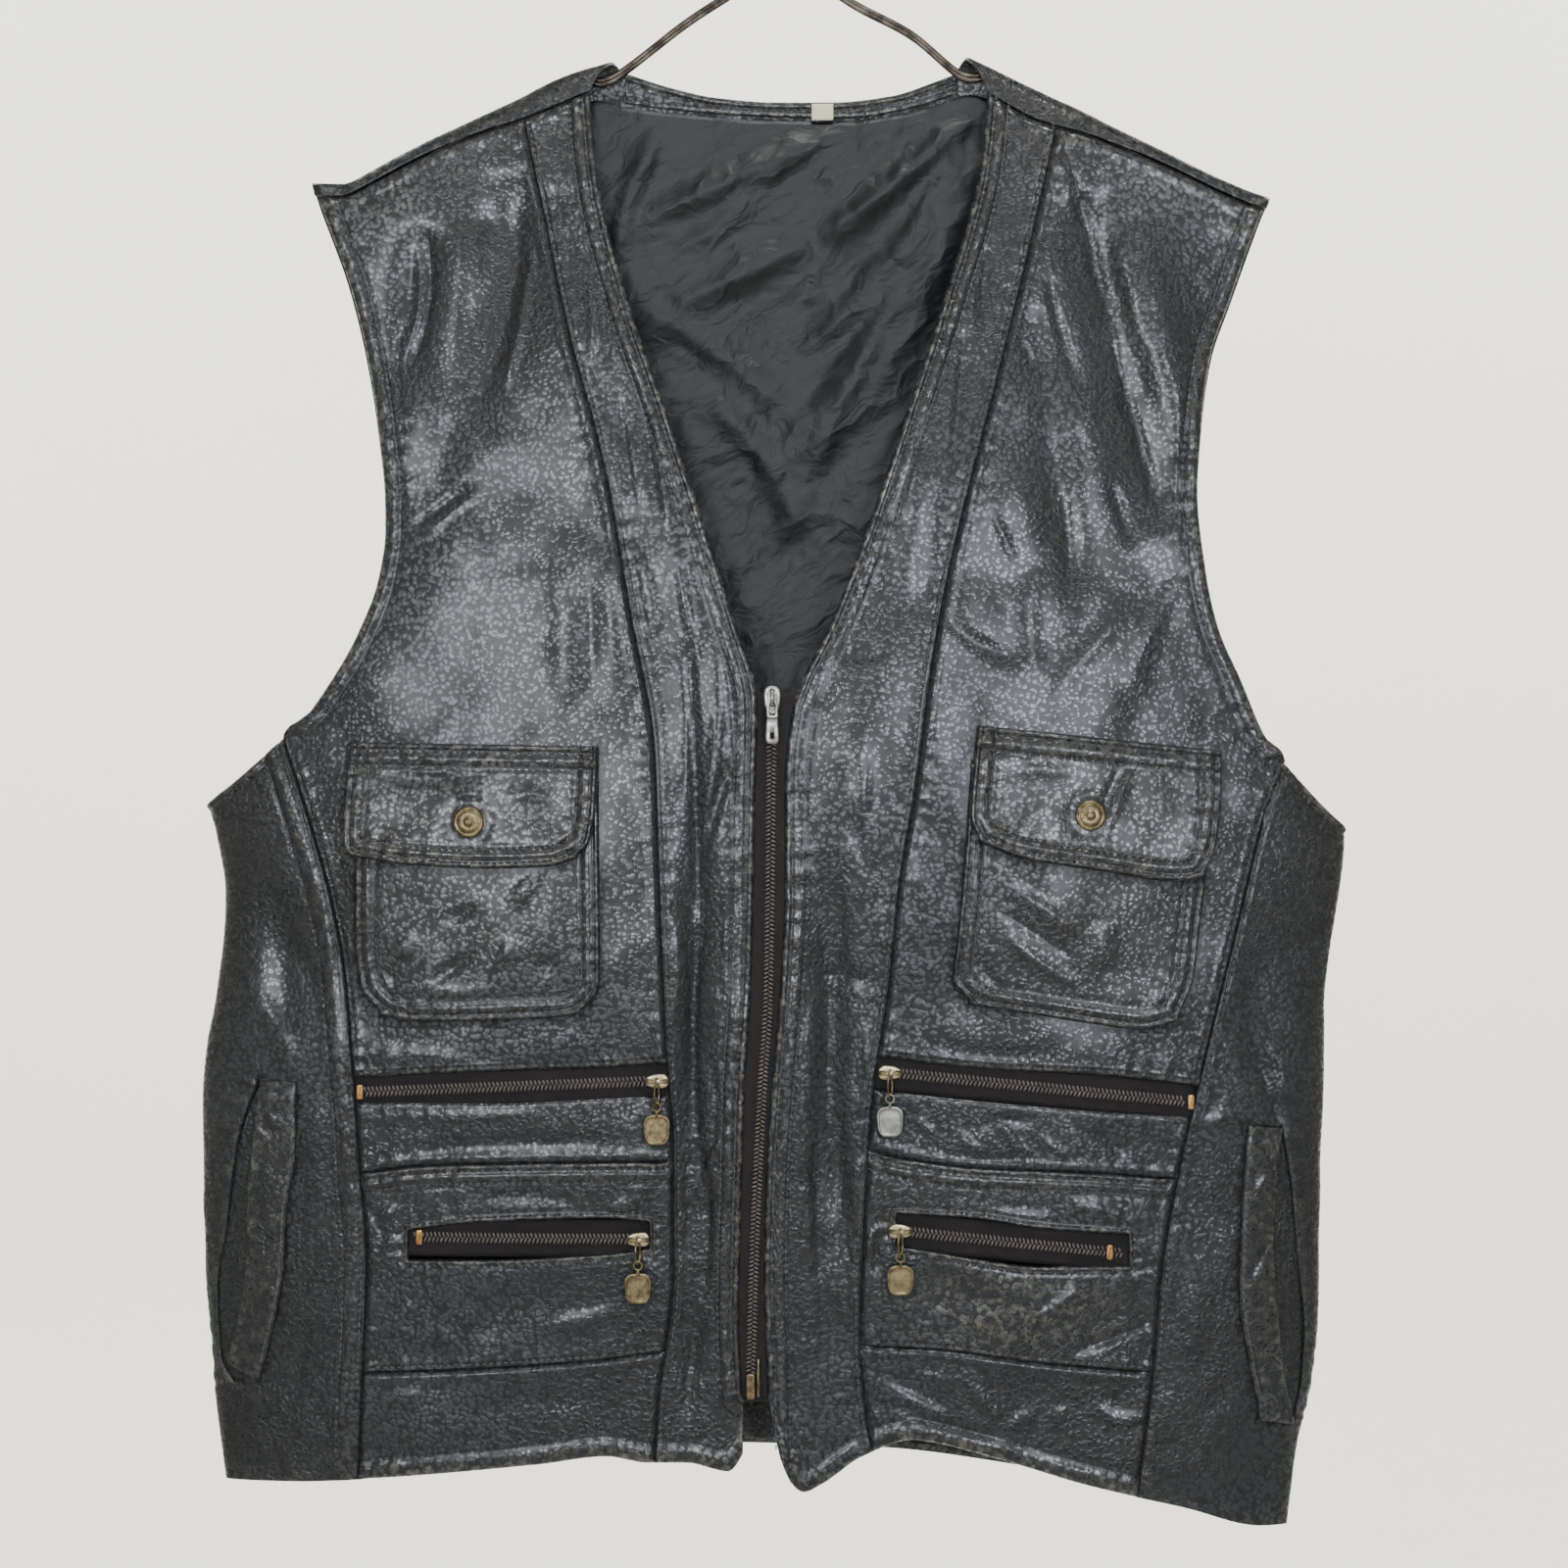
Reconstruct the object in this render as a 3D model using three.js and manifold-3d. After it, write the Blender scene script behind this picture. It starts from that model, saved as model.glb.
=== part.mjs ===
// A zipped leather vest on a metal hanger, in millimetres, as it hangs: +Z is up and the front faces -Y.
// The origin is the inside top of the hanger's hook. In names, _r is the wearer's right, which lies at -X.
import * as THREE from "three";
import Module from "manifold-3d";
import { mergeVertices } from "three/addons/utils/BufferGeometryUtils.js";

const wasm = await Module();
wasm.setup();

// Walls and clearances
const LEATHER = 1.6;
const LINING = 1.0;
const TAPE = 0.8;
const GAP = 0.3;

// Layers, as distances out from the body's outer face
const UNDER = -LEATHER - GAP;
const BODY_LAYER = { from: -LEATHER, to: 0 };
const PATCH_LAYER = { from: GAP, to: GAP + LEATHER };
const WELT_LAYER = { from: 2 * GAP, to: 2 * GAP + LEATHER };
const SLACK = 0.6;
const LINING_LAYER = { from: UNDER - SLACK - LINING, to: UNDER - SLACK };
const FACING_LAYER = { from: UNDER - GAP - 1, to: UNDER - GAP };

const FRONT = 1;
const BACK = -1;

// The body's form: its widest place at each height, the line of the shoulders and the half depth below it
const CENTRE_X = -4;
const SHOULDER_ROUND = 8;
const SIDE_R = {
  z: [-80, -181, -250, -300, -345, -402, -449, -479, -491, -522, -568, -620, -690, -749, -804],
  x: [-275, -275, -245, -232, -228, -240, -262, -278, -275, -270, -274, -281, -281, -277, -270],
};
const SIDE_L = {
  z: [-80, -188, -250, -300, -345, -402, -444, -480, -490, -547, -579, -639, -705, -752, -789, -826],
  x: [282, 280, 250, 237, 234, 243, 257, 266, 268, 262, 259, 258, 257, 254, 247, 242],
};
const RIDGE = {
  x: [-228, -215, -199, -171, -152, -133, -105, -85, -50, 0, 50, 92, 111, 149, 187, 224, 234],
  z: [-181, -181, -174, -159, -150, -141, -127, -121, -108, -100, -108, -121, -130, -150, -168, -185, -188],
};
const HALF_DEPTH = { drop: [0, 60, 150, 300, 450, 700], y: [8, 11, 17, 24, 27, 24] };

// The largest folds: a soft trough or ridge from one end to the other, with its half width and its rise
const FRONT_FOLDS = [
  { x: -128, z: -178, toX: -172, toZ: -345, width: 15, rise: -4.5 },
  { x: -175, z: -200, toX: -185, toZ: -280, width: 10, rise: -2.5 },
  { x: -150, z: -200, toX: -160, toZ: -330, width: 14, rise: 3 },
  { x: 142, z: -185, toX: 182, toZ: -350, width: 15, rise: -5 },
  { x: 165, z: -200, toX: 195, toZ: -320, width: 12, rise: 3 },
  { x: 120, z: -240, toX: 138, toZ: -380, width: 10, rise: -2 },
  { x: -43, z: -465, toX: -47, toZ: -760, width: 8, rise: -4 },
  { x: 20, z: -500, toX: 26, toZ: -750, width: 9, rise: -3.5 },
  { x: -245, z: -520, toX: -238, toZ: -590, width: 10, rise: -3 },
  { x: 222, z: -550, toX: 232, toZ: -615, width: 10, rise: -3 },
];
const BACK_FOLDS = [
  { x: 90, z: -150, toX: -60, toZ: -240, width: 30, rise: -2 },
  { x: 30, z: -200, toX: -90, toZ: -300, width: 35, rise: 2 },
  { x: -120, z: -450, toX: -90, toZ: -780, width: 45, rise: -3 },
  { x: 110, z: -480, toX: 90, toZ: -790, width: 45, rise: 3 },
];

// Edges of the pieces, each read from its table by height or by width
const ARMHOLE_R = {
  z: [-181, -188, -230, -263, -301, -334, -348, -371, -402, -439, -449, -500, -800],
  x: [-229, -227, -212, -204, -198, -195, -195, -198, -210, -234, -242, -243, -240],
};
const ARMHOLE_L = {
  z: [-186, -198, -240, -263, -287, -310, -329, -369, -395, -420, -444, -461, -500, -820],
  x: [234, 229, 214, 206, 202, 200, 199, 203, 209, 220, 230, 239, 236, 214],
};
const UNDERARM_R = { x: [-279, -265, -242], z: [-479, -468, -448] };
const UNDERARM_L = { x: [239, 258, 269], z: [-460, -480, -490] };
const OPENING_R = {
  z: [-134, -178, -235, -293, -357, -395, -423, -432, -470, -564, -611, -681, -724, -764],
  x: [-95, -91, -77, -57, -36, -24, -15, -14, -15, -17, -20, -22, -23, -21],
};
const OPENING_L = {
  z: [-134, -173, -199, -232, -293, -357, -395, -423, -432, -470, -517, -564, -611, -658, -705, -766],
  x: [97, 93, 87, 77, 57, 35, 20, 6, 3, -1, -1, -3, -7, -10, -11, -9],
};
const PRINCESS_R = {
  z: [-149, -183, -249, -317, -395, -451, -526, -592, -648, -705, -771, -795],
  x: [-127, -120, -106, -88, -74, -64, -61, -58, -54, -54, -62, -63],
};
const PRINCESS_L = {
  z: [-153, -211, -272, -329, -376, -423, -470, -517, -573, -611, -677, -735, -765, -790],
  x: [130, 117, 102, 87, 76, 68, 62, 54, 48, 42, 37, 35, 37, 41],
};
const SIDE_SEAM_R = {
  z: [-448, -493, -526, -559, -611, -658, -695, -775, -803],
  x: [-242, -227, -218, -212, -207, -204, -201, -204, -205],
};
const SIDE_SEAM_L = {
  z: [-460, -484, -540, -596, -648, -705, -752, -811],
  x: [239, 229, 215, 201, 189, 179, 175, 167],
};
const YOKE_DROP = {
  x: [-228, -190, -152, -107, -96, 98, 116, 149, 187, 232],
  drop: [6, 6, 8, 14, 13, 15, 16, 9, 6, 6],
};
const BACK_NECK = {
  x: [-79, -57, -34, -6, 23, 51, 70, 83],
  z: [-126, -133, -138, -140, -140, -137, -131, -126],
};
const NECK_FACING = { x: [-80, -57, -14, 30, 58, 84], z: [-141, -144, -147, -148, -144, -136] };
const HEM = {
  x: [-278, -236, -199, -119, -86, -67, -48, -28, -18, -9, -4, 3, 8, 17, 36, 60, 74, 97, 144, 190, 229, 250],
  z: [-804, -804, -802, -795, -791, -794, -794, -798, -784, -766, -789, -805, -808, -804, -791, -783, -785,
    -791, -805, -816, -826, -826],
};
const BACK_HEM = {
  x: [-278, -200, -120, -40, 40, 120, 200, 250],
  z: [-803, -800, -794, -790, -792, -802, -816, -823],
};
const NECK_X = { inner: 81, outer: 96 };

// Upper zips: the lips above and below, and the coil's line
const ZIP_TOP_R = { x: [-207, -143, -88, -53], z: [-610, -607, -605, -603] };
const ZIP_TOP_L = { x: [45, 75, 114, 153, 195], z: [-600, -604, -607, -609, -614] };
const ZIP_BOTTOM_R = { x: [-205, -143, -96, -53], z: [-622, -622, -620, -618] };
const ZIP_BOTTOM_L = { x: [45, 83, 114, 161, 195], z: [-616, -620, -623, -627, -629] };
const COIL_UPPER_R = { x: [-205, -53], z: [-617, -611] };
const COIL_UPPER_L = { x: [45, 195], z: [-607, -622] };

// Pouches with their zip windows
const POUCH_TOP_R = { x: [-204, -171, -132, -56], z: [-656, -652, -651, -650] };
const POUCH_TOP_L = { x: [39, 58, 89, 151, 186], z: [-644, -649, -653, -656, -659] };
const POUCH_BOTTOM_R = { x: [-202, -171, -132, -93, -62], z: [-751, -750, -748, -745, -741] };
const POUCH_BOTTOM_L = { x: [36, 74, 120, 173], z: [-738, -740, -746, -751] };
const WINDOW_R = [
  [-181, -683], [-148, -679], [-86, -677], [-66, -679], [-66, -691], [-86, -694], [-148, -697], [-178, -697],
];
const WINDOW_L = [
  [52, -675], [89, -677], [120, -682], [163, -685], [163, -700], [120, -700], [89, -696], [54, -690],
];
const COIL_LOWER_R = { x: [-190, -58], z: [-686, -687] };
const COIL_LOWER_L = { x: [44, 171], z: [-682, -695] };

// Chest pockets: the bag and its flap, as their sides at each height and their foot at each width
const POCKET_R = {
  left: { z: [-470, -545, -568, -578], x: [-206, -206, -203, -194] },
  right: { z: [-470, -563, -572, -578], x: [-90, -89, -92, -99] },
  bottom: { x: [-194, -174, -112, -99], z: [-580, -583, -581, -579] },
  top: { x: [-206, -90], z: [-466, -468] },
};
const POCKET_L = {
  left: { z: [-460, -524, -552, -563, -573], x: [88, 83, 80, 79, 87] },
  right: { z: [-470, -513, -540, -563, -580], x: [203, 200, 197, 194, 187] },
  bottom: { x: [87, 114, 145, 169, 187], z: [-575, -579, -584, -587, -583] },
  top: { x: [88, 204], z: [-458, -470] },
};
const FLAP_R = {
  left: { z: [-450, -470, -489, -499, -504], x: [-208, -210, -211, -211, -207] },
  right: { z: [-450, -479, -498, -504], x: [-90, -91, -94, -100] },
  bottom: { x: [-207, -180, -142, -114, -100], z: [-504, -508, -510, -509, -505] },
  top: { x: [-208, -90], z: [-450, -452] },
};
const FLAP_L = {
  left: { z: [-442, -460, -486, -496], x: [91, 89, 87, 91] },
  right: { z: [-454, -470, -498, -513], x: [207, 207, 204, 198] },
  bottom: { x: [91, 111, 149, 187, 198], z: [-497, -505, -511, -516, -514] },
  top: { x: [91, 207], z: [-442, -454] },
};
const POCKET_PUFF = 2;
const SNAP = { radius: 7.3, height: 2.6, r: [-151, -488], l: [144, -485] };

// Side pockets: the slanted welt, and the mouth that it half covers
const WELT_R = {
  left: { z: [-612, -639, -667, -700, -726, -746], x: [-252, -255, -258, -259, -263, -268] },
  right: { z: [-612, -648, -672, -705, -726, -756], x: [-234, -235, -239, -241, -245, -253] },
  bottom: { x: [-268, -253], z: [-748, -756] },
  top: { x: [-252, -234], z: [-611, -613] },
};
const WELT_L = {
  left: { z: [-634, -677, -714, -742, -771], x: [220, 217, 216, 220, 226] },
  right: { z: [-635, -663, -695, -724, -752, -775], x: [237, 234, 233, 235, 238, 243] },
  bottom: { x: [226, 243], z: [-775, -777] },
  top: { x: [219, 238], z: [-633, -635] },
};
const MOUTH_R = [
  [-253, -612], [-261, -634], [-265, -653], [-270, -686], [-274, -707], [-274, -742], [-271, -752],
  [-264, -757], [-262, -726], [-257, -700], [-256, -667], [-253, -639],
];
const MOUTH_L = [
  [238, -637], [242, -662], [245, -691], [246, -705], [249, -733], [248, -757], [245, -775],
  [236, -752], [232, -724], [230, -695], [231, -662],
];
const FACING_R = {
  left: { z: [-606, -640, -686, -712, -745, -762], x: [-256, -265, -272, -276, -276, -270] },
  right: { z: [-606, -700, -762], x: [-242, -248, -255] },
};
const FACING_L = {
  left: { z: [-630, -700, -782], x: [226, 223, 232] },
  right: { z: [-630, -662, -705, -733, -782], x: [243, 246, 249, 251, 245] },
};

// Metalwork
const STOP = { length: 3.2, height: 7, depth: 1 };
const SLIDER = { length: 11, height: 7.5, depth: 2.4 };
const BAR = { radius: 0.7, length: 8, reach: 3.0 };
const LINK = { radius: 0.5, width: 2.4, straight: 8.2, turn: 60 };
const EYE = { radius: 2.0, wire: 0.5 };
const PENDANT = { width: 13.5, height: 14.5, depth: 1.6, rim: 1.3, recess: 0.4 };
const MAIN_SLIDER = { width: 9, height: 14, depth: 2.6, z: -430 };
const CROWN = { width: 1.6, wall: 0.9, room: 2.2, top: 5, bottom: -2.6 };
const PULL = { rod: 0.6, length: 20, top: 5.2, end: 6.6, depth: 1.2, window: 3.6 };
const MAIN_BOX = { width: 4.2, height: 12, depth: 3.2, z: -757 };
const HANGER = { lobe: 1.35, spread: 1.0, hookWire: 2.0, hookInside: 20, armEnd: 196 };

const LEATHER_LOOK = { color: 0x33383c, roughness: 0.42, metalness: 0 };
const LINING_LOOK = { color: 0x3c3e42, roughness: 0.5, metalness: 0 };
const TAPE_LOOK = { color: 0x2e2a2c, roughness: 0.8, metalness: 0 };
const COPPER_LOOK = { color: 0xd8a468, roughness: 0.35, metalness: 1 };
const BRASS_LOOK = { color: 0x8a7a58, roughness: 0.4, metalness: 1 };
const SILVER_LOOK = { color: 0xb4b4b0, roughness: 0.3, metalness: 1 };
const STEEL_LOOK = { color: 0x6a645c, roughness: 0.35, metalness: 1 };
const LABEL_LOOK = { color: 0xcdc8aa, roughness: 0.8, metalness: 0 };

const { lerp: mix, clamp, degToRad } = THREE.MathUtils;
const group = new THREE.Group();

function add(name, geometry, look) {
  const mesh = new THREE.Mesh(geometry, new THREE.MeshStandardMaterial(look));
  mesh.name = name;
  group.add(mesh);
  return mesh;
}

// A smooth curve through a table that never swings past its rows, level beyond its ends
function through(keys, values) {
  const rows = keys.map((key, i) => ({ key, value: values[i] })).sort((a, b) => a.key - b.key);
  const last = rows.length - 1;
  const rate = rows.slice(1).map((row, i) => (row.value - rows[i].value) / (row.key - rows[i].key));
  const slope = rows.map((row, i) => {
    if (i === 0) return rate[0];
    if (i === last) return rate[last - 1];
    const [before, after] = [rate[i - 1], rate[i]];
    return before * after > 0 ? (2 * before * after) / (before + after) : 0;
  });
  return (key) => {
    if (key <= rows[0].key) return rows[0].value;
    if (key >= rows[last].key) return rows[last].value;
    const i = rows.findIndex((row) => row.key > key) - 1;
    const span = rows[i + 1].key - rows[i].key;
    const s = (key - rows[i].key) / span;
    const rise = rows[i + 1].value - rows[i].value;
    const bend = slope[i] * span - rise;
    const lift = -slope[i + 1] * span + rise;
    return mix(rows[i].value, rows[i + 1].value, s) + s * (1 - s) * (bend * (1 - s) + lift * s);
  };
}
const byHeight = (table, shift = 0) => {
  const curve = through(table.z, table.x);
  return (z) => curve(z) + shift;
};
const byWidth = (table, shift = 0) => {
  const curve = through(table.x, table.z);
  return (x) => curve(x) + shift;
};

// The body's outer face: the squared distance from the middle plane at a width and a height
const sideR = byHeight(SIDE_R);
const sideL = byHeight(SIDE_L);
const ridge = byWidth(RIDGE);
const halfDepth = through(HALF_DEPTH.drop, HALF_DEPTH.y);
const yokeDrop = through(YOKE_DROP.x, YOKE_DROP.drop);

function foldRise(folds, x, z) {
  let rise = 0;
  for (const fold of folds) {
    const run = [fold.toX - fold.x, fold.toZ - fold.z];
    const length2 = run[0] ** 2 + run[1] ** 2;
    const s = clamp(((x - fold.x) * run[0] + (z - fold.z) * run[1]) / length2, 0, 1);
    const away = Math.hypot(x - fold.x - s * run[0], z - fold.z - s * run[1]) / fold.width;
    rise += fold.rise * Math.exp(-away * away) * (1 - (2 * s - 1) ** 4);
  }
  return rise;
}

function reachSquared(x, z, side) {
  const drop = Math.max(ridge(x) - z, 0);
  const bound = x < CENTRE_X ? sideR(z) : sideL(z);
  const u = Math.min((x - CENTRE_X) / (bound - CENTRE_X), 1);
  const depth = halfDepth(drop) + foldRise(side === FRONT ? FRONT_FOLDS : BACK_FOLDS, x, z);
  const over = drop < SHOULDER_ROUND ? 1 - (1 - drop / SHOULDER_ROUND) ** 2 : 1;
  return depth * depth * (1 - u ** 3) * over;
}

function faceAt({ x, z, side }) {
  const step = 0.5;
  const y = -side * Math.sqrt(Math.max(reachSquared(x, z, side), 0));
  const normal = new THREE.Vector3(
    -(reachSquared(x + step, z, side) - reachSquared(x - step, z, side)) / (2 * step),
    2 * y,
    -(reachSquared(x, z + step, side) - reachSquared(x, z - step, side)) / (2 * step),
  ).normalize();
  return { point: new THREE.Vector3(x, y, z), normal };
}

// Ways to lay a piece out: each gives the place on the body for s across and r upwards, both from 0 to 1
const SETTLE = 8;
function between(left, right, bottom, top, side = FRONT) {
  return (s, r) => {
    let z = mix(bottom(CENTRE_X), top(CENTRE_X), r);
    let x = CENTRE_X;
    for (let i = 0; i < SETTLE; i++) {
      x = mix(left(z), right(z), s);
      z = mix(bottom(x), top(x), r);
    }
    return { x, z, side };
  };
}

// Round the side, from a seam on the front to a seam on the back
function roundSide(frontSeam, backSeam, bound, bottom, top) {
  const angle = (seam, z) => Math.asin(clamp((seam(z) - CENTRE_X) / (bound(z) - CENTRE_X), 0, 1));
  return (s, r) => {
    let x = frontSeam(-600);
    let z = -600;
    let turn = 0;
    for (let i = 0; i < 2 * SETTLE; i++) {
      turn = mix(angle(frontSeam, z), Math.PI - angle(backSeam, z), s);
      x = CENTRE_X + (bound(z) - CENTRE_X) * Math.sin(turn);
      z = mix(z, mix(bottom(x), top(x), r), 0.7);
    }
    return { x, z, side: turn <= Math.PI / 2 ? FRONT : BACK };
  };
}

// Up the back and over the shoulders, measured along the leather from the ridge and negative on the front
const QUARTER_ROUND = (SHOULDER_ROUND * Math.PI) / 2;
const pathOf = (drop) =>
  drop < SHOULDER_ROUND
    ? SHOULDER_ROUND * Math.acos(1 - drop / SHOULDER_ROUND)
    : QUARTER_ROUND + drop - SHOULDER_ROUND;
const dropOf = (path) =>
  path < QUARTER_ROUND
    ? SHOULDER_ROUND * (1 - Math.cos(path / SHOULDER_ROUND))
    : SHOULDER_ROUND + path - QUARTER_ROUND;
const ROUND_RUN = 28;
const ROUND_FROM = 0.7;
function overShoulders(left, right, bottom) {
  const neck = byWidth(BACK_NECK);
  const inner = (x) => pathOf(Math.max(ridge(x) - neck(x), 0));
  const outer = (x) => -pathOf(yokeDrop(x)) + GAP / 2;
  const start = (x) => {
    const s = clamp((Math.abs(x - 1) - NECK_X.inner) / (NECK_X.outer - NECK_X.inner), 0, 1);
    return mix(inner(x), outer(x), s);
  };
  const knee = (x) => start(x) + ROUND_RUN;
  return (s, r) => {
    let x = CENTRE_X;
    let z = -400;
    let path = 0;
    for (let i = 0; i < SETTLE; i++) {
      x = mix(left(z), right(z), s);
      const below = mix(pathOf(ridge(x) - bottom(x)), knee(x), r / ROUND_FROM);
      path = r < ROUND_FROM ? below : mix(knee(x), start(x), (r - ROUND_FROM) / (1 - ROUND_FROM));
      z = ridge(x) - dropOf(Math.abs(path));
    }
    return { x, z, side: path > 0 ? BACK : FRONT };
  };
}

// A closed wall between two layers of the body, from a layout and its lines across and upwards
const evenly = (count) => Array.from({ length: count + 1 }, (_, i) => i / count);
function wall(layout, columns, rows, layer, swell = () => 0) {
  const across = Array.isArray(columns) ? columns : evenly(columns);
  const upward = Array.isArray(rows) ? rows : evenly(rows);
  const points = [];
  for (const face of ["to", "from"]) {
    for (const r of upward) {
      for (const s of across) {
        const { point, normal } = faceAt(layout(s, r));
        const out = typeof layer[face] === "function" ? layer[face](s, r) : layer[face];
        points.push(point.addScaledVector(normal, out + swell(s, r)));
      }
    }
  }
  const [nx, ny] = [across.length, upward.length];
  const id = (face, i, j) => face * nx * ny + j * nx + i;
  const index = [];
  const quad = (a, b, c, d) => index.push(a, b, c, a, c, d);
  for (let j = 0; j + 1 < ny; j++) {
    for (let i = 0; i + 1 < nx; i++) {
      quad(id(0, i, j), id(0, i + 1, j), id(0, i + 1, j + 1), id(0, i, j + 1));
      quad(id(1, i, j + 1), id(1, i + 1, j + 1), id(1, i + 1, j), id(1, i, j));
    }
    quad(id(0, 0, j + 1), id(1, 0, j + 1), id(1, 0, j), id(0, 0, j));
    quad(id(0, nx - 1, j), id(1, nx - 1, j), id(1, nx - 1, j + 1), id(0, nx - 1, j + 1));
  }
  for (let i = 0; i + 1 < nx; i++) {
    quad(id(0, i, 0), id(1, i, 0), id(1, i + 1, 0), id(0, i + 1, 0));
    quad(id(0, i + 1, ny - 1), id(1, i + 1, ny - 1), id(1, i, ny - 1), id(0, i, ny - 1));
  }
  const geometry = new THREE.BufferGeometry().setFromPoints(points);
  geometry.setIndex(index);
  return facingOut(geometry);
}

function facingOut(geometry) {
  const index = geometry.index.array;
  const p = geometry.attributes.position;
  const [a, b, c] = [new THREE.Vector3(), new THREE.Vector3(), new THREE.Vector3()];
  let volume = 0;
  for (let i = 0; i < index.length; i += 3) {
    a.fromBufferAttribute(p, index[i]);
    b.fromBufferAttribute(p, index[i + 1]);
    c.fromBufferAttribute(p, index[i + 2]);
    volume += a.dot(b.cross(c));
  }
  if (volume < 0) geometry.setIndex(Array.from(index).reverse());
  return geometry;
}

// Joining and cutting
function toSolid(geometry) {
  const bare = geometry.clone();
  bare.deleteAttribute("normal");
  bare.deleteAttribute("uv");
  const merged = mergeVertices(bare, 1e-4);
  return new wasm.Manifold(
    new wasm.Mesh({
      numProp: 3,
      vertProperties: new Float32Array(merged.attributes.position.array),
      triVerts: new Uint32Array(merged.index.array),
    }),
  );
}
function toGeometry(solid) {
  const mesh = solid.getMesh();
  const geometry = new THREE.BufferGeometry();
  geometry.setAttribute("position", new THREE.BufferAttribute(new Float32Array(mesh.vertProperties), 3));
  geometry.setIndex(new THREE.BufferAttribute(new Uint32Array(mesh.triVerts), 1));
  return geometry;
}
const joined = (...parts) => toGeometry(parts.map(toSolid).reduce((sum, part) => sum.add(part)));
const cut = (body, tool) => toGeometry(toSolid(body).subtract(toSolid(tool)));

// A cutter with an outline in the XZ plane, from one depth to another
function prism(outline, fromY, toY) {
  const shape = new THREE.Shape(outline.map(([x, z]) => new THREE.Vector2(x, z)));
  const geometry = new THREE.ExtrudeGeometry(shape, { depth: toY - fromY, bevelEnabled: false });
  return geometry.rotateX(Math.PI / 2).translate(0, toY, 0);
}
const box = (w, d, h, x = 0, y = 0, z = 0) => new THREE.BoxGeometry(w, d, h).translate(x, y, z);

// Body panels
const inset = 0.2;
const hem = byWidth(HEM);
const backHem = byWidth(BACK_HEM);
const yokeSeam = (x) => ridge(x) - yokeDrop(x) - 3 * GAP;
const FRONT_ARMHOLE_INSET = 2;
const ARMHOLE_BLEND = 12;
const CUT_FROM = -60; // a cutter starts in front of everything

function backColumns() {
  const xs = [
    -228, -210, -185, -155, -125, -104, -96, -90, -85, -80, -72, -50, -25, 0,
    25, 50, 74, 82, 87, 92, 98, 106, 130, 160, 190, 215, 233,
  ];
  return xs.map((x) => (x - xs[0]) / (xs[xs.length - 1] - xs[0]));
}
const backRows = [
  ...evenly(16).map((r) => r * ROUND_FROM),
  ...evenly(7).slice(1).map((r) => mix(ROUND_FROM, 1, r)),
];
const backR = byHeight(ARMHOLE_R, GAP);
const backL = byHeight(ARMHOLE_L, -GAP);
add("back", wall(overShoulders(backR, backL, backHem), backColumns(), backRows, BODY_LAYER), LEATHER_LOOK);

// The chest panels have a row of points at the corner of the armhole and the side seam
const CORNER_ROW = 0.375;
const chestRows = [
  ...evenly(7).map((r) => r * CORNER_ROW),
  ...evenly(13).slice(1).map((r) => mix(CORNER_ROW, 1, r)),
];

const SIDES = {
  r: {
    sign: -1, opening: OPENING_R, princess: PRINCESS_R, seam: SIDE_SEAM_R, armhole: ARMHOLE_R, bound: sideR,
    underarm: UNDERARM_R, zipTop: ZIP_TOP_R, zipBottom: ZIP_BOTTOM_R, pouchTop: POUCH_TOP_R,
    pouchBottom: POUCH_BOTTOM_R, window: WINDOW_R, pocket: POCKET_R, flap: FLAP_R, snap: SNAP.r,
    welt: WELT_R, mouth: MOUTH_R, facing: FACING_R,
    upperZip: { line: COIL_UPPER_R, tape: [-203, -57], coil: [-202, -58], slider: -62, stop: -204 },
    lowerZip: { line: COIL_LOWER_R, tape: [-190, -58], coil: [-178, -69], slider: -71, stop: -175.5 },
  },
  l: {
    sign: 1, opening: OPENING_L, princess: PRINCESS_L, seam: SIDE_SEAM_L, armhole: ARMHOLE_L, bound: sideL,
    underarm: UNDERARM_L, zipTop: ZIP_TOP_L, zipBottom: ZIP_BOTTOM_L, pouchTop: POUCH_TOP_L,
    pouchBottom: POUCH_BOTTOM_L, window: WINDOW_L, pocket: POCKET_L, flap: FLAP_L, snap: SNAP.l,
    welt: WELT_L, mouth: MOUTH_L, facing: FACING_L,
    upperZip: { line: COIL_UPPER_L, tape: [46, 191], coil: [47, 190], slider: 49, stop: 193 },
    lowerZip: { line: COIL_LOWER_L, tape: [44, 171], coil: [57, 160], slider: 54, stop: 154 },
  },
};

// Turns a pair of edges, inner and outer, into left and right
const ordered = (sign, inner, outer) => (sign < 0 ? [outer, inner] : [inner, outer]);

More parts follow.
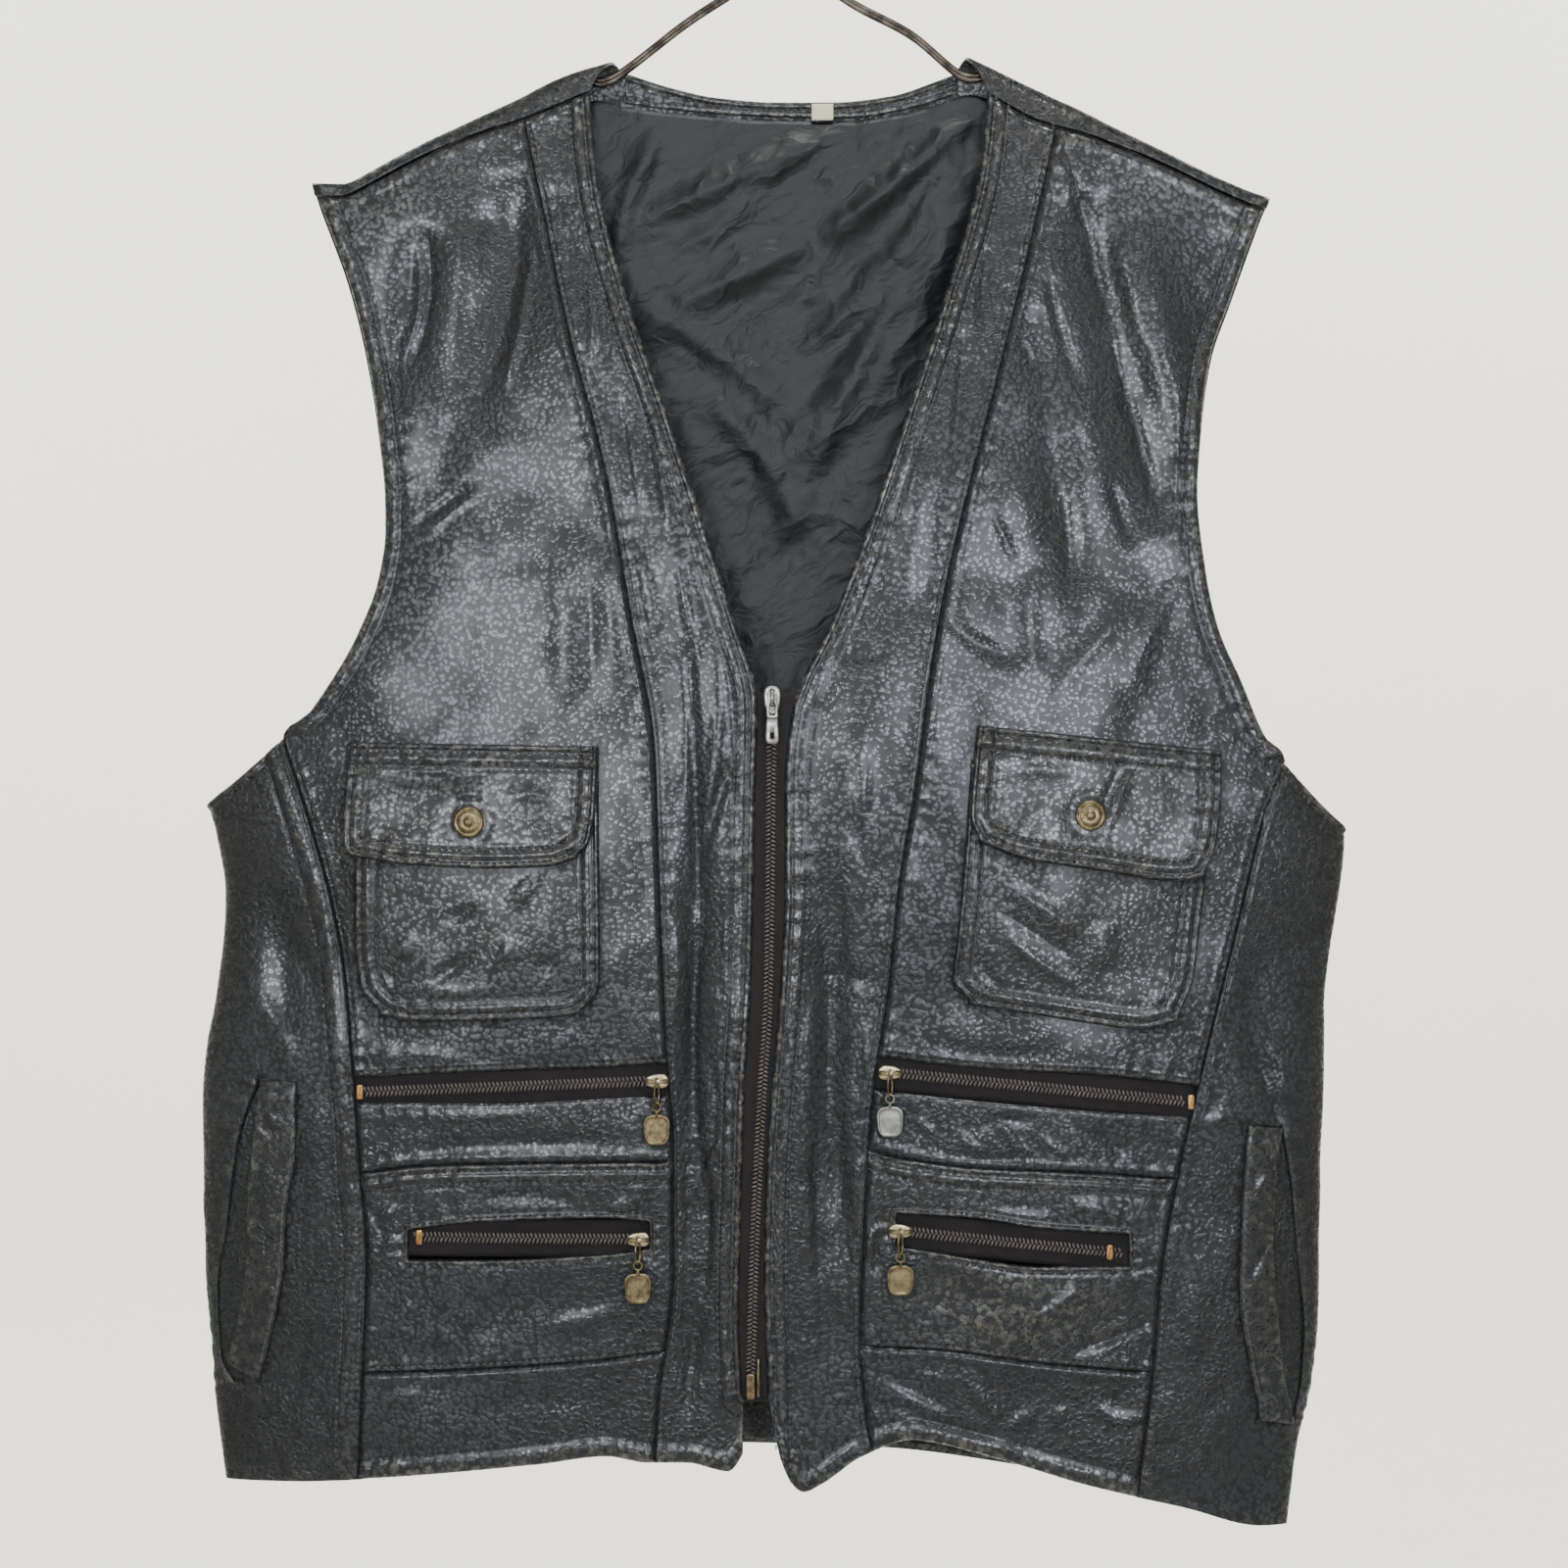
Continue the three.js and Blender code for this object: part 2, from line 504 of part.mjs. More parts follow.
function frontPanels(key, part) {
  const { sign } = part;
  const opening = byHeight(part.opening);
  const bandOuter = byHeight(part.princess, -sign * inset);
  const panelInner = byHeight(part.princess, sign * inset);
  const armholeZ = Math.max(...part.seam.z);
  const armhole = byHeight(part.armhole, -sign * FRONT_ARMHOLE_INSET);
  const seam = byHeight(part.seam, -sign * GAP);
  const panelOuter = (z) => mix(seam(z), armhole(z), clamp((z - armholeZ) / ARMHOLE_BLEND, 0, 1));
  const zipTop = byWidth(part.zipTop);
  const zipBottom = byWidth(part.zipBottom);
  const pouchTop = byWidth(part.pouchTop);
  const pouchBottom = byWidth(part.pouchBottom);
  const lower = (f, shift) => (x) => f(x) + shift;

  const band = between(...ordered(sign, opening, bandOuter), hem, yokeSeam);
  add(`front_band_${key}`, wall(band, 5, 30, BODY_LAYER), LEATHER_LOOK);
  const edges = ordered(sign, panelInner, panelOuter);
  const chest = between(...edges, zipTop, yokeSeam);
  add(`chest_panel_${key}`, wall(chest, 8, chestRows, BODY_LAYER), LEATHER_LOOK);
  const strip = between(...edges, lower(pouchTop, inset), zipBottom);
  add(`zip_strip_${key}`, wall(strip, 9, 2, BODY_LAYER), LEATHER_LOOK);
  const pouch = between(...edges, lower(pouchBottom, inset), lower(pouchTop, -inset));
  const pouchWall = cut(wall(pouch, 9, 5, BODY_LAYER), prism(part.window, CUT_FROM, -5));
  add(`pouch_${key}`, pouchWall, LEATHER_LOOK);
  const hemPanel = between(...edges, hem, lower(pouchBottom, -inset));
  add(`hem_panel_${key}`, wall(hemPanel, 8, 3, BODY_LAYER), LEATHER_LOOK);
}

function sidePanel(key, part) {
  const frontSeam = byHeight(part.seam, part.sign * GAP);
  const backSeam = byHeight(part.armhole, part.sign * GAP);
  const layout = roundSide(frontSeam, backSeam, part.bound, byWidth(HEM), byWidth(part.underarm));
  const body = wall(layout, 10, 12, BODY_LAYER);
  add(`side_panel_${key}`, cut(body, prism(part.mouth, CUT_FROM, -2)), LEATHER_LOOK);
}

function chestPocket(key, part) {
  const { pocket, flap } = part;
  const layoutOf = ({ left, right, bottom, top }) =>
    between(byHeight(left), byHeight(right), byWidth(bottom), byWidth(top));
  const swell = (s, r) => Math.max(0, Math.sin(Math.PI * s) * Math.sin((Math.PI / 2) * r));
  const bulge = (s, r) => POCKET_PUFF * Math.sqrt(swell(s, r));
  add(`chest_pocket_${key}`, wall(layoutOf(pocket), 8, 7, PATCH_LAYER, bulge), LEATHER_LOOK);
  const over = PATCH_LAYER.to + GAP + POCKET_PUFF;
  const flapLayer = { from: over, to: over + LEATHER };
  add(`pocket_flap_${key}`, wall(layoutOf(flap), 8, 5, flapLayer), LEATHER_LOOK);
  const { radius, height } = SNAP;
  const dome = [[radius, 0], [radius, 0.8], [radius * 0.8, 1.8], [radius * 0.45, 2.2]];
  const profile = [[0, 0], ...dome, [0, height]];
  const cap = new THREE.LatheGeometry(profile.map(([r, h]) => new THREE.Vector2(r, h)), 16);
  const seat = faceAt({ x: part.snap[0], z: part.snap[1], side: FRONT });
  const mesh = add(`snap_cap_${key}`, cap, BRASS_LOOK);
  mesh.position.copy(seat.point).addScaledVector(seat.normal, flapLayer.to + GAP);
  mesh.quaternion.setFromUnitVectors(new THREE.Vector3(0, 1, 0), seat.normal);
}

function sidePocket(key, part) {
  const { welt, facing } = part;
  const { left, right } = welt;
  const weltLayout = between(byHeight(left), byHeight(right), byWidth(welt.bottom), byWidth(welt.top));
  add(`welt_${key}`, wall(weltLayout, 3, 10, WELT_LAYER), LEATHER_LOOK);
  const [bottom, top] = [Math.min(...facing.left.z), Math.max(...facing.left.z)];
  const facingLayout = between(byHeight(facing.left), byHeight(facing.right), () => bottom, () => top);
  add(`welt_facing_${key}`, wall(facingLayout, 4, 10, FACING_LAYER), LEATHER_LOOK);
}

// Zips: a tape with its coil standing up in the middle
const TAPE_TOP = UNDER - GAP;
const ZIP_FACE = GAP;
const COIL = { half: 2.4, top: 0, tapeHalf: 9 };
const STEP = 0.02; // shares of the tape over which the coil's sides and ends rise
const END_STEP = 0.005;
const NEAR = 0.001;
function crossZip(name, zip) {
  const centre = byWidth(zip.line);
  const [fromX, toX] = zip.tape;
  const edge = (shift) => (x) => centre(x) + shift;
  const layout = between(() => fromX, () => toX, edge(-COIL.tapeHalf), edge(COIL.tapeHalf));
  const wide = COIL.half / (2 * COIL.tapeHalf);
  const rows = [0, 0.5 - wide - STEP, 0.5 - wide, 0.5 + wide, 0.5 + wide + STEP, 1];
  const [a, b] = zip.coil.map((x) => (x - fromX) / (toX - fromX));
  const columns = [0, a - END_STEP, ...evenly(8).map((s) => mix(a, b, s)), b + END_STEP, 1];
  const isCoil = (s, r) => Math.abs(r - 0.5) <= wide + NEAR && s > a - NEAR && s < b + NEAR;
  const layer = { from: TAPE_TOP - TAPE, to: (s, r) => (isCoil(s, r) ? COIL.top : TAPE_TOP) };
  add(name, wall(layout, columns, rows, layer), TAPE_LOOK);
}

function pendantOutline(inward) {
  const w = PENDANT.width / 2 - inward;
  const h = PENDANT.height / 2 - inward;
  const [small, large] = [2 - inward * 0.5, 5 - inward * 0.5];
  const shape = new THREE.Shape();
  shape.moveTo(-w, h - small);
  shape.absarc(-w + small, h - small, small, Math.PI, Math.PI / 2, true);
  shape.absarc(w - small, h - small, small, Math.PI / 2, 0, true);
  shape.absarc(w - large, -h + large, large, 0, -Math.PI / 2, true);
  shape.absarc(-w + large, -h + large, large, -Math.PI / 2, -Math.PI, true);
  return shape;
}
const upright = (geometry) => geometry.rotateX(Math.PI / 2);

function pendantShape() {
  const settings = { bevelEnabled: false, curveSegments: 3 };
  const plate = upright(new THREE.ExtrudeGeometry(pendantOutline(0), { ...settings, depth: PENDANT.depth }));
  plate.translate(0, PENDANT.depth / 2, 0);
  const well = upright(new THREE.ExtrudeGeometry(pendantOutline(PENDANT.rim), { ...settings, depth: 1 }));
  well.translate(0, -PENDANT.depth / 2 + PENDANT.recess, 0);
  const eye = upright(new THREE.TorusGeometry(EYE.radius, EYE.wire, 6, 14));
  const eyeZ = -(EYE.radius - 2 * EYE.wire - GAP);
  const topZ = eyeZ - EYE.radius - 1.6;
  plate.translate(0, 0, topZ - PENDANT.height / 2);
  well.translate(0, 0, topZ - PENDANT.height / 2);
  eye.translate(0, 0, eyeZ);
  const neck = box(2, 1, 1.9, 0, 0, topZ + 0.75);
  return joined(cut(plate, well), neck, eye);
}

// A ring drawn out into a long loop that hangs from the bar and ends where the pendant's eye goes round it
function linkShape() {
  const loop = new THREE.TorusGeometry(LINK.width, LINK.radius, 6, 16);
  const p = loop.attributes.position;
  for (let i = 0; i < p.count; i++) if (p.getY(i) < -0.01) p.setY(i, p.getY(i) - LINK.straight);
  upright(loop).rotateZ(degToRad(LINK.turn));
  return loop.translate(0, 0, BAR.radius + GAP + LINK.radius - LINK.width);
}
const LINK_FOOT = BAR.radius + GAP + LINK.radius - 2 * LINK.width - LINK.straight;

function pocketSliderShape() {
  const { length, height, depth } = SLIDER;
  const plate = box(length, depth, height, 0, -depth / 2, 0);
  const bar = new THREE.CylinderGeometry(BAR.radius, BAR.radius, BAR.length, 10).rotateZ(Math.PI / 2);
  bar.translate(0, -depth - BAR.reach, 0);
  const post = (x) => box(1.2, BAR.reach + 1.2, 2.2, x, -depth - BAR.reach / 2 + 0.1, 0);
  return joined(plate, bar, post(-BAR.length / 2), post(BAR.length / 2));
}

function pocketZip(row, key, zip) {
  const z = byWidth(zip.line);
  crossZip(`${row}_zip_${key}`, zip);
  const seat = faceAt({ x: zip.slider, z: z(zip.slider), side: FRONT });
  const base = seat.point.clone().addScaledVector(seat.normal, ZIP_FACE);
  const slider = add(`${row}_slider_${key}`, pocketSliderShape(), SILVER_LOOK);
  slider.position.copy(base);
  const link = add(`${row}_link_${key}`, linkShape(), BRASS_LOOK);
  link.position.set(base.x, base.y - SLIDER.depth - BAR.reach, base.z);
  const pendant = add(`${row}_pendant_${key}`, pendantShape(), BRASS_LOOK);
  pendant.position.copy(link.position).add(new THREE.Vector3(0, 0, LINK_FOOT));
  const stopSeat = faceAt({ x: zip.stop, z: z(zip.stop), side: FRONT });
  const crimp = box(STOP.length, STOP.depth, STOP.height, 0, -STOP.depth / 2, 0);
  const stop = add(`${row}_stop_${key}`, crimp, COPPER_LOOK);
  stop.position.copy(stopSeat.point).addScaledVector(stopSeat.normal, ZIP_FACE);
}

for (const [key, part] of Object.entries(SIDES)) {
  frontPanels(key, part);
  sidePanel(key, part);
  chestPocket(key, part);
  sidePocket(key, part);
  pocketZip("upper", key, part.upperZip);
  pocketZip("lower", key, part.lowerZip);
}

// Main zip: two tapes under the front edges, their coils meeting in the middle
const COIL_MAIN = {
  z: [-428, -470, -517, -573, -611, -658, -705, -766],
  x: [-7, -7.5, -8, -9, -11.5, -14, -16, -17.5],
};
const MAIN_TAPE = { half: 15, low: -764, high: -426 };
function mainTape(key, sign) {
  const coil = byHeight(COIL_MAIN);
  const inner = (z) => coil(z) + sign * inset;
  const outer = (z) => coil(z) + sign * MAIN_TAPE.half;
  const edge = COIL.half / MAIN_TAPE.half;
  const steps = [0, edge, edge + 0.03, 0.6, 1];
  const columns = sign > 0 ? steps : steps.map((s) => 1 - s).reverse();
  const fromCoil = (s) => (sign > 0 ? s : 1 - s);
  const layer = { from: TAPE_TOP - TAPE, to: (s) => (fromCoil(s) <= edge + NEAR ? COIL.top : TAPE_TOP) };
  const layout = between(...ordered(sign, inner, outer), () => MAIN_TAPE.low, () => MAIN_TAPE.high);
  add(`main_zip_tape_${key}`, wall(layout, columns, 20, layer), TAPE_LOOK);
}
mainTape("r", -1);
mainTape("l", 1);

function mainSlider() {
  const { width, height, depth, z } = MAIN_SLIDER;
  const seat = faceAt({ x: byHeight(COIL_MAIN)(z), z, side: FRONT });
  const base = seat.point.clone().addScaledVector(seat.normal, ZIP_FACE);
  const [w, h] = [width / 2, height / 2];
  const corners = [[-w, h], [-1, h], [0, h - 2], [1, h], [w, h], [width * 0.32, -h], [-width * 0.32, -h]];
  const outline = new THREE.Shape(corners.map(([x, y]) => new THREE.Vector2(x, y)));
  const body = upright(new THREE.ExtrudeGeometry(outline, { depth, bevelEnabled: false }));
  const front = -depth;
  const crownZ = (CROWN.top + CROWN.bottom) / 2;
  const crownHeight = CROWN.top - CROWN.bottom;
  const crown = box(CROWN.width, CROWN.wall, crownHeight, 0, front - CROWN.room - CROWN.wall / 2, crownZ);
  const foot = (at) => box(CROWN.width, CROWN.room + 1, 1, 0, front - CROWN.room / 2, at);
  const shape = joined(body, crown, foot(CROWN.top - 0.5), foot(CROWN.bottom + 0.5));
  const slider = add("main_zip_slider", shape, SILVER_LOOK);
  slider.position.copy(base);

  const rodZ = CROWN.bottom + 1 + GAP + PULL.rod;
  const { top, end, rod, length } = PULL;
  const taper = [[-top / 2, rod], [top / 2, rod], [end / 2, -length], [-end / 2, -length]];
  const tab = new THREE.Shape(taper.map(([x, y]) => new THREE.Vector2(x, y)));
  const hole = (w, from, to) => new THREE.Path([
    [-w / 2, from], [-w / 2, to], [w / 2, to], [w / 2, from],
  ].map(([x, y]) => new THREE.Vector2(x, y)));
  tab.holes.push(hole(CROWN.width + 3 * GAP, -rod, -PULL.window - rod));
  tab.holes.push(hole(3, -length + 7.5, -length + 2));
  const pull = upright(new THREE.ExtrudeGeometry(tab, { depth: PULL.depth, bevelEnabled: false }));
  const mesh = add("main_zip_pull", pull.translate(0, PULL.depth / 2, 0), SILVER_LOOK);
  mesh.position.set(base.x, base.y + front - CROWN.room / 2, base.z + rodZ);
}
mainSlider();

function mainBox() {
  const seat = faceAt({ x: byHeight(COIL_MAIN)(MAIN_BOX.z), z: MAIN_BOX.z, side: FRONT });
  const shell = box(MAIN_BOX.width, MAIN_BOX.depth, MAIN_BOX.height, 0, -MAIN_BOX.depth / 2, 0);
  const mesh = add("main_zip_box", shell, BRASS_LOOK);
  mesh.position.copy(seat.point).addScaledVector(seat.normal, ZIP_FACE);
}
mainBox();

// What shows inside: the back's lining, the band round the neck and a blank label
const FACING_X = { left: -78, right: 82 };
const LABEL = { left: 12, right: 22.5, bottom: -149, top: -141, thick: 0.5 };
const LINING_INSET = { side: 6, hem: 20, shoulder: 16 };
function insideBack() {
  const facingBottom = byWidth(NECK_FACING);
  const neck = byWidth(BACK_NECK, -1);
  const neckFacing = between(() => FACING_X.left, () => FACING_X.right, facingBottom, neck, BACK);
  add("back_neck_facing", wall(neckFacing, 12, 2, LINING_LAYER), LEATHER_LOOK);
  const top = (x) => {
    const s = clamp((Math.abs(x - 1) - NECK_X.inner) / (NECK_X.outer - NECK_X.inner), 0, 1);
    return mix(facingBottom(x) - 6 * GAP, ridge(x) - LINING_INSET.shoulder, s);
  };
  const left = byHeight(ARMHOLE_R, LINING_INSET.side);
  const right = byHeight(ARMHOLE_L, -LINING_INSET.side);
  const columns = [0, 0.08, 0.16, 0.24, 0.29, 0.32, 0.4, 0.5, 0.6, 0.68, 0.71, 0.76, 0.84, 0.92, 1];
  const lining = between(left, right, byWidth(BACK_HEM, LINING_INSET.hem), top, BACK);
  add("back_lining", wall(lining, columns, 16, LINING_LAYER), LINING_LOOK);
  const labelLayer = { from: LINING_LAYER.from - GAP - LABEL.thick, to: LINING_LAYER.from - GAP };
  const label = between(() => LABEL.left, () => LABEL.right, () => LABEL.bottom, () => LABEL.top, BACK);
  add("size_label", wall(label, 2, 2, labelLayer), LABEL_LOOK);
}
insideBack();

// The hanger: two arms of grooved wire under the shoulders and a round hook
function hanger() {
  const under = LEATHER + GAP + HANGER.lobe + HANGER.spread + 1.5;
  const arm = (x) => new THREE.Vector3(x, 0, ridge(x) - under);
  const free = (x, z) => new THREE.Vector3(x, 0, z);
  const left = [-HANGER.armEnd, -170, -145, -120, -98].map(arm);
  const right = [98, 120, 145, 170, HANGER.armEnd].map(arm);
  const middle = [
    [-84, -130], [-48, -103], [-20, -85], [-8, -77.5], [0, -75],
    [8, -77.5], [32, -94], [60, -109], [84, -128.5],
  ].map(([x, z]) => free(x, z));
  const path = new THREE.CatmullRomCurve3([...left, ...middle, ...right]);
  const section = new THREE.Shape();
  const pinch = Math.asin(HANGER.spread / HANGER.lobe);
  section.absarc(0, HANGER.spread, HANGER.lobe, -pinch, Math.PI + pinch, false);
  section.absarc(0, -HANGER.spread, HANGER.lobe, Math.PI - pinch, 2 * Math.PI + pinch, false);
  const arms = new THREE.ExtrudeGeometry(section, { steps: 34, extrudePath: path, curveSegments: 3 });
  const r = HANGER.hookInside + HANGER.hookWire;
  const ring = (deg) => {
    const turn = degToRad(deg);
    return new THREE.Vector3(r * Math.cos(turn), 0, r * Math.sin(turn) - HANGER.hookInside);
  };
  const shank = [[0, -76], [0, -62], [1.5, -49]].map(([x, z]) => free(x, z));
  const bend = [-62, -30, 0, 30, 60, 90, 120, 150, 180, 205].map(ring);
  const hookPath = new THREE.CatmullRomCurve3([...shank, ...bend]);
  const wire = new THREE.Shape().absarc(0, 0, HANGER.hookWire, 0, 2 * Math.PI, false);
  const hook = new THREE.ExtrudeGeometry(wire, { steps: 30, extrudePath: hookPath, curveSegments: 4 });
  add("hanger", joined(arms, hook), STEEL_LOOK);
}
hanger();

export default group;
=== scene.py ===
"""A zipped leather vest on a metal hanger, seen from the front as it hangs.

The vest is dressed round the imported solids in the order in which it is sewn, hanger first and metalwork last.
Tables are in millimetres in the model's frame, and each mesh is turned to metres as it is made.
"""

import math

import bpy
import numpy as np
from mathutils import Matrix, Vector


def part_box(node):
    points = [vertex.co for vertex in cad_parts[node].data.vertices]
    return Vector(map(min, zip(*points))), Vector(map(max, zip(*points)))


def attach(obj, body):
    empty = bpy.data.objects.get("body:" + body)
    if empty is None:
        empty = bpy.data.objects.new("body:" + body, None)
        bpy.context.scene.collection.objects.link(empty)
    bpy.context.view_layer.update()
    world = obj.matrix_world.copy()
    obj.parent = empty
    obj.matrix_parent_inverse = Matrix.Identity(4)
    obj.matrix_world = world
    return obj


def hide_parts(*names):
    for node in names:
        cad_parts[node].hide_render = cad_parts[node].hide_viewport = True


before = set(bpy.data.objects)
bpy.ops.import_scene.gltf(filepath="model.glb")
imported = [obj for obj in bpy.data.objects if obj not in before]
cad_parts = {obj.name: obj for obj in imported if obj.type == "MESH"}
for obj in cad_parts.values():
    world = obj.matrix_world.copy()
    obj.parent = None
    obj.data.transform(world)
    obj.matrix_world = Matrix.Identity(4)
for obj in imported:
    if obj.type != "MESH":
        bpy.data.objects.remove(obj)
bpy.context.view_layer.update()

# The hanger: one length of steel wire pressed into a grooved double section for the arms, with a round
# wire hook twisted into its middle. The wire is tumbled and browned with handling.

MM = 0.001
TURN = 2 * math.pi


def linear(sheet):
    """An sRGB hex colour as Blender's linear colour."""
    parts = [int(sheet[i : i + 2], 16) / 255 for i in (1, 3, 5)]
    return (*[p / 12.92 if p <= 0.04045 else ((p + 0.055) / 1.055) ** 2.4 for p in parts], 1.0)


def put(tree, kind, inputs=(), **settings):
    """Adds one shader node; an input is a value, a socket, or a node whose first output feeds it."""
    made = tree.nodes.new("ShaderNode" + kind)
    for name, value in settings.items():
        setattr(made, name, value)
    for key, value in dict(inputs).items():
        if isinstance(value, bpy.types.Node):
            value = value.outputs[0]
        if isinstance(value, bpy.types.NodeSocket):
            tree.links.new(value, made.inputs[key])
        else:
            made.inputs[key].default_value = value
    return made


def new_material(name):
    """A material, its empty tree, and the place on the object that its patterns are laid by."""
    material = bpy.data.materials.new(name)
    material.use_nodes = True
    tree = material.node_tree
    tree.nodes.clear()
    return material, tree, put(tree, "TexCoord").outputs["Object"]


def show(tree, inputs):
    """Ends a material in one shader with these inputs."""
    put(tree, "OutputMaterial", {"Surface": put(tree, "BsdfPrincipled", inputs)})


def mix_colours(tree, share, a, b):
    """The colour output of a mix of two hex colours or sockets."""
    a, b = [linear(c) if isinstance(c, str) else c for c in (a, b)]
    return put(tree, "Mix", {0: share, 6: a, 7: b}, data_type="RGBA").outputs[2]


def worn_metal(name, bright, dull, roughness, spots, scratches, depth=0.00004):
    """A plated or bare metal with tarnish in spots of a real size and fine scratches; both in metres."""
    material, tree, where = new_material(name)
    cloud = put(tree, "TexNoise", {"Vector": where, "Scale": 1 / spots, "Detail": 4.0, "Roughness": 0.65})
    grit = put(tree, "TexNoise", {"Vector": where, "Scale": 1 / scratches, "Detail": 2.0})
    share = put(tree, "MapRange", {"Value": cloud, "From Min": 0.38, "From Max": 0.62})
    rough = {"Value": cloud, "From Min": 0.35, "From Max": 0.7,
             "To Min": roughness, "To Max": roughness + 0.22}
    show(tree, {
        "Base Color": mix_colours(tree, share, bright, dull), "Metallic": 1.0,
        "Roughness": put(tree, "MapRange", rough),
        "Normal": put(tree, "Bump", {"Height": grit, "Distance": depth, "Strength": 0.6}),
    })
    return material


def piece(name, points, faces, material, body="vest", smooth=True):
    """A mesh object from points in millimetres, riding on a body of the model."""
    mesh = bpy.data.meshes.new(name)
    mesh.from_pydata((np.asarray(points, float) * MM).tolist(), [], [list(f) for f in faces])
    mesh.polygons.foreach_set("use_smooth", [smooth] * len(mesh.polygons))
    mesh.materials.append(material)
    made = bpy.data.objects.new(name, mesh)
    bpy.context.scene.collection.objects.link(made)
    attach(made, body)
    return made


def spline(points, per_span=8):
    """A smooth line through points, as Catmull and Rom drew it."""
    p = np.asarray(points, float)
    p = np.vstack([2 * p[0] - p[1], p, 2 * p[-1] - p[-2]])
    rows = []
    for i in range(1, len(p) - 2):
        a, b, c, d = p[i - 1 : i + 3]
        for t in np.linspace(0, 1, per_span, endpoint=False):
            rows.append(
                0.5 * (2 * b + (c - a) * t + (2 * a - 5 * b + 4 * c - d) * t**2
                       + (3 * b - a - 3 * c + d) * t**3)
            )
    return np.array([*rows, p[-2]])


def ring_faces(loops, n, closed=False, capped=True):
    """Faces of a skin through loops of n points; a closed one joins its last loop to its first."""
    faces = []
    for j in range(loops if closed else loops - 1):
        a, b = j * n, (j + 1) % loops * n
        faces += [(a + k, a + (k + 1) % n, b + (k + 1) % n, b + k) for k in range(n)]
    if capped and not closed:
        faces += [tuple(range(n))[::-1], tuple((loops - 1) * n + k for k in range(n))]
    return faces


def tube(path, radius, sides=12, closed=False):
    """Points and faces of a round wire along a path; radius may be one number or one for each point."""
    path = np.asarray(path, float)
    n = len(path)
    radius = np.broadcast_to(radius, n)
    ahead = np.roll(path, -1, 0) - np.roll(path, 1, 0)
    if not closed:
        ahead[0], ahead[-1] = path[1] - path[0], path[-1] - path[-2]
    points = []
    side = Vector(ahead[0]).orthogonal().normalized()
    for i in range(n):
        along = Vector(ahead[i]).normalized()
        side = (side - along * side.dot(along)).normalized()
        up = along.cross(side)
        for k in range(sides):
            a = TURN * k / sides
            points.append(path[i] + radius[i] * np.array(side * math.cos(a) + up * math.sin(a)))
    return np.array(points), ring_faces(n, sides, closed)


def stands_for(made, node):
    """Hides the solid that a piece stands for."""
    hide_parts(node)


def together(*parts):
    """Several (points, faces) as one."""
    points, faces, start = [], [], 0
    for p, f in parts:
        points.append(np.asarray(p, float))
        faces += [tuple(start + i for i in face) for face in f]
        start += len(p)
    return np.vstack(points), faces


# Nickel-plated steel, browned where hands and hangers have rubbed it: a warm grey with a soft streaked
# shine.
HANGER_STEEL = worn_metal("nickel_plated_steel_wire_browned", "#6d655c", "#3d3630", 0.32, 0.009, 0.0012)
LOBE = 1.35
LOBE_SPREAD = 1.0
HOOK_WIRE = 2.0
HOOK_INSIDE = 20.0
ARM_X = [-196, -170, -145, -120, -98]
ARM_DROP = 5.75
MIDDLE = [(-84, -130), (-48, -103), (-20, -85), (-8, -77.5), (0, -75), (8, -77.5), (32, -94), (60, -109),
          (84, -128.5)]


def through(keys, values):
    """A smooth curve through a table that never swings past its rows, level beyond its ends."""
    order = np.argsort(keys)
    k, v = np.asarray(keys, float)[order], np.asarray(values, float)[order]
    rate = np.diff(v) / np.diff(k)
    slope = np.concatenate([rate[:1], np.zeros(len(k) - 2), rate[-1:]])
    before, after = rate[:-1], rate[1:]
    same = before * after > 0
    slope[1:-1][same] = (2 * before * after)[same] / (before + after)[same]

    def curve(at):
        at = np.clip(np.asarray(at, float), k[0], k[-1])
        i = np.clip(np.searchsorted(k, at, side="right") - 1, 0, len(k) - 2)
        span, rise = k[i + 1] - k[i], v[i + 1] - v[i]
        s = (at - k[i]) / span
        bend, lift = slope[i] * span - rise, rise - slope[i + 1] * span
        return v[i] + rise * s + s * (1 - s) * (bend * (1 - s) + lift * s)

    return curve


# The line of the shoulders, which the arms follow from below
RIDGE = {
    "x": [-228, -215, -199, -171, -152, -133, -105, -85, -50, 0, 50, 92, 111, 149, 187, 224, 234],
    "z": [-181, -181, -174, -159, -150, -141, -127, -121, -108, -100, -108, -121, -130, -150, -168, -185,
          -188],
}
ridge = through(RIDGE["x"], RIDGE["z"])


def hanger_arms():
    left = [(x, 0, float(ridge(x)) - ARM_DROP) for x in ARM_X]
    right = [(x, 0, float(ridge(x)) - ARM_DROP) for x in (98, 120, 145, 170, 196)]
    line = spline([*left, *[(x, 0, z) for x, z in MIDDLE], *right], 10)
    lobes = []
    for lobe in (-1, 1):
        lobes.append(tube(line + np.array([0, 0, lobe * LOBE_SPREAD]), LOBE, 14))
    return together(*lobes)


def hanger_hook():
    r = HOOK_INSIDE + HOOK_WIRE
    turned = [math.radians(a) for a in (-62, -30, 0, 30, 60, 90, 120, 150, 180, 205)]
    ring = [(r * math.cos(a), 0, r * math.sin(a) - HOOK_INSIDE) for a in turned]
    shank = spline([(0, 0, -76), (0, 0, -62), (1.5, 0, -49), *ring], 8)
    twist = []
    for start in (0, math.pi):
        t = np.linspace(0, 1, 60)
        a = start + 5 * math.pi * t
        coil = np.column_stack([2.6 * np.cos(a), 2.6 * np.sin(a), -77 + 14 * t])
        twist.append(tube(coil, 0.9, 8))
    return together(tube(shank, HOOK_WIRE, 16), *twist)


hanger = piece("wire_hanger", *together(hanger_arms(), hanger_hook()), HANGER_STEEL)
stands_for(hanger, "hanger")

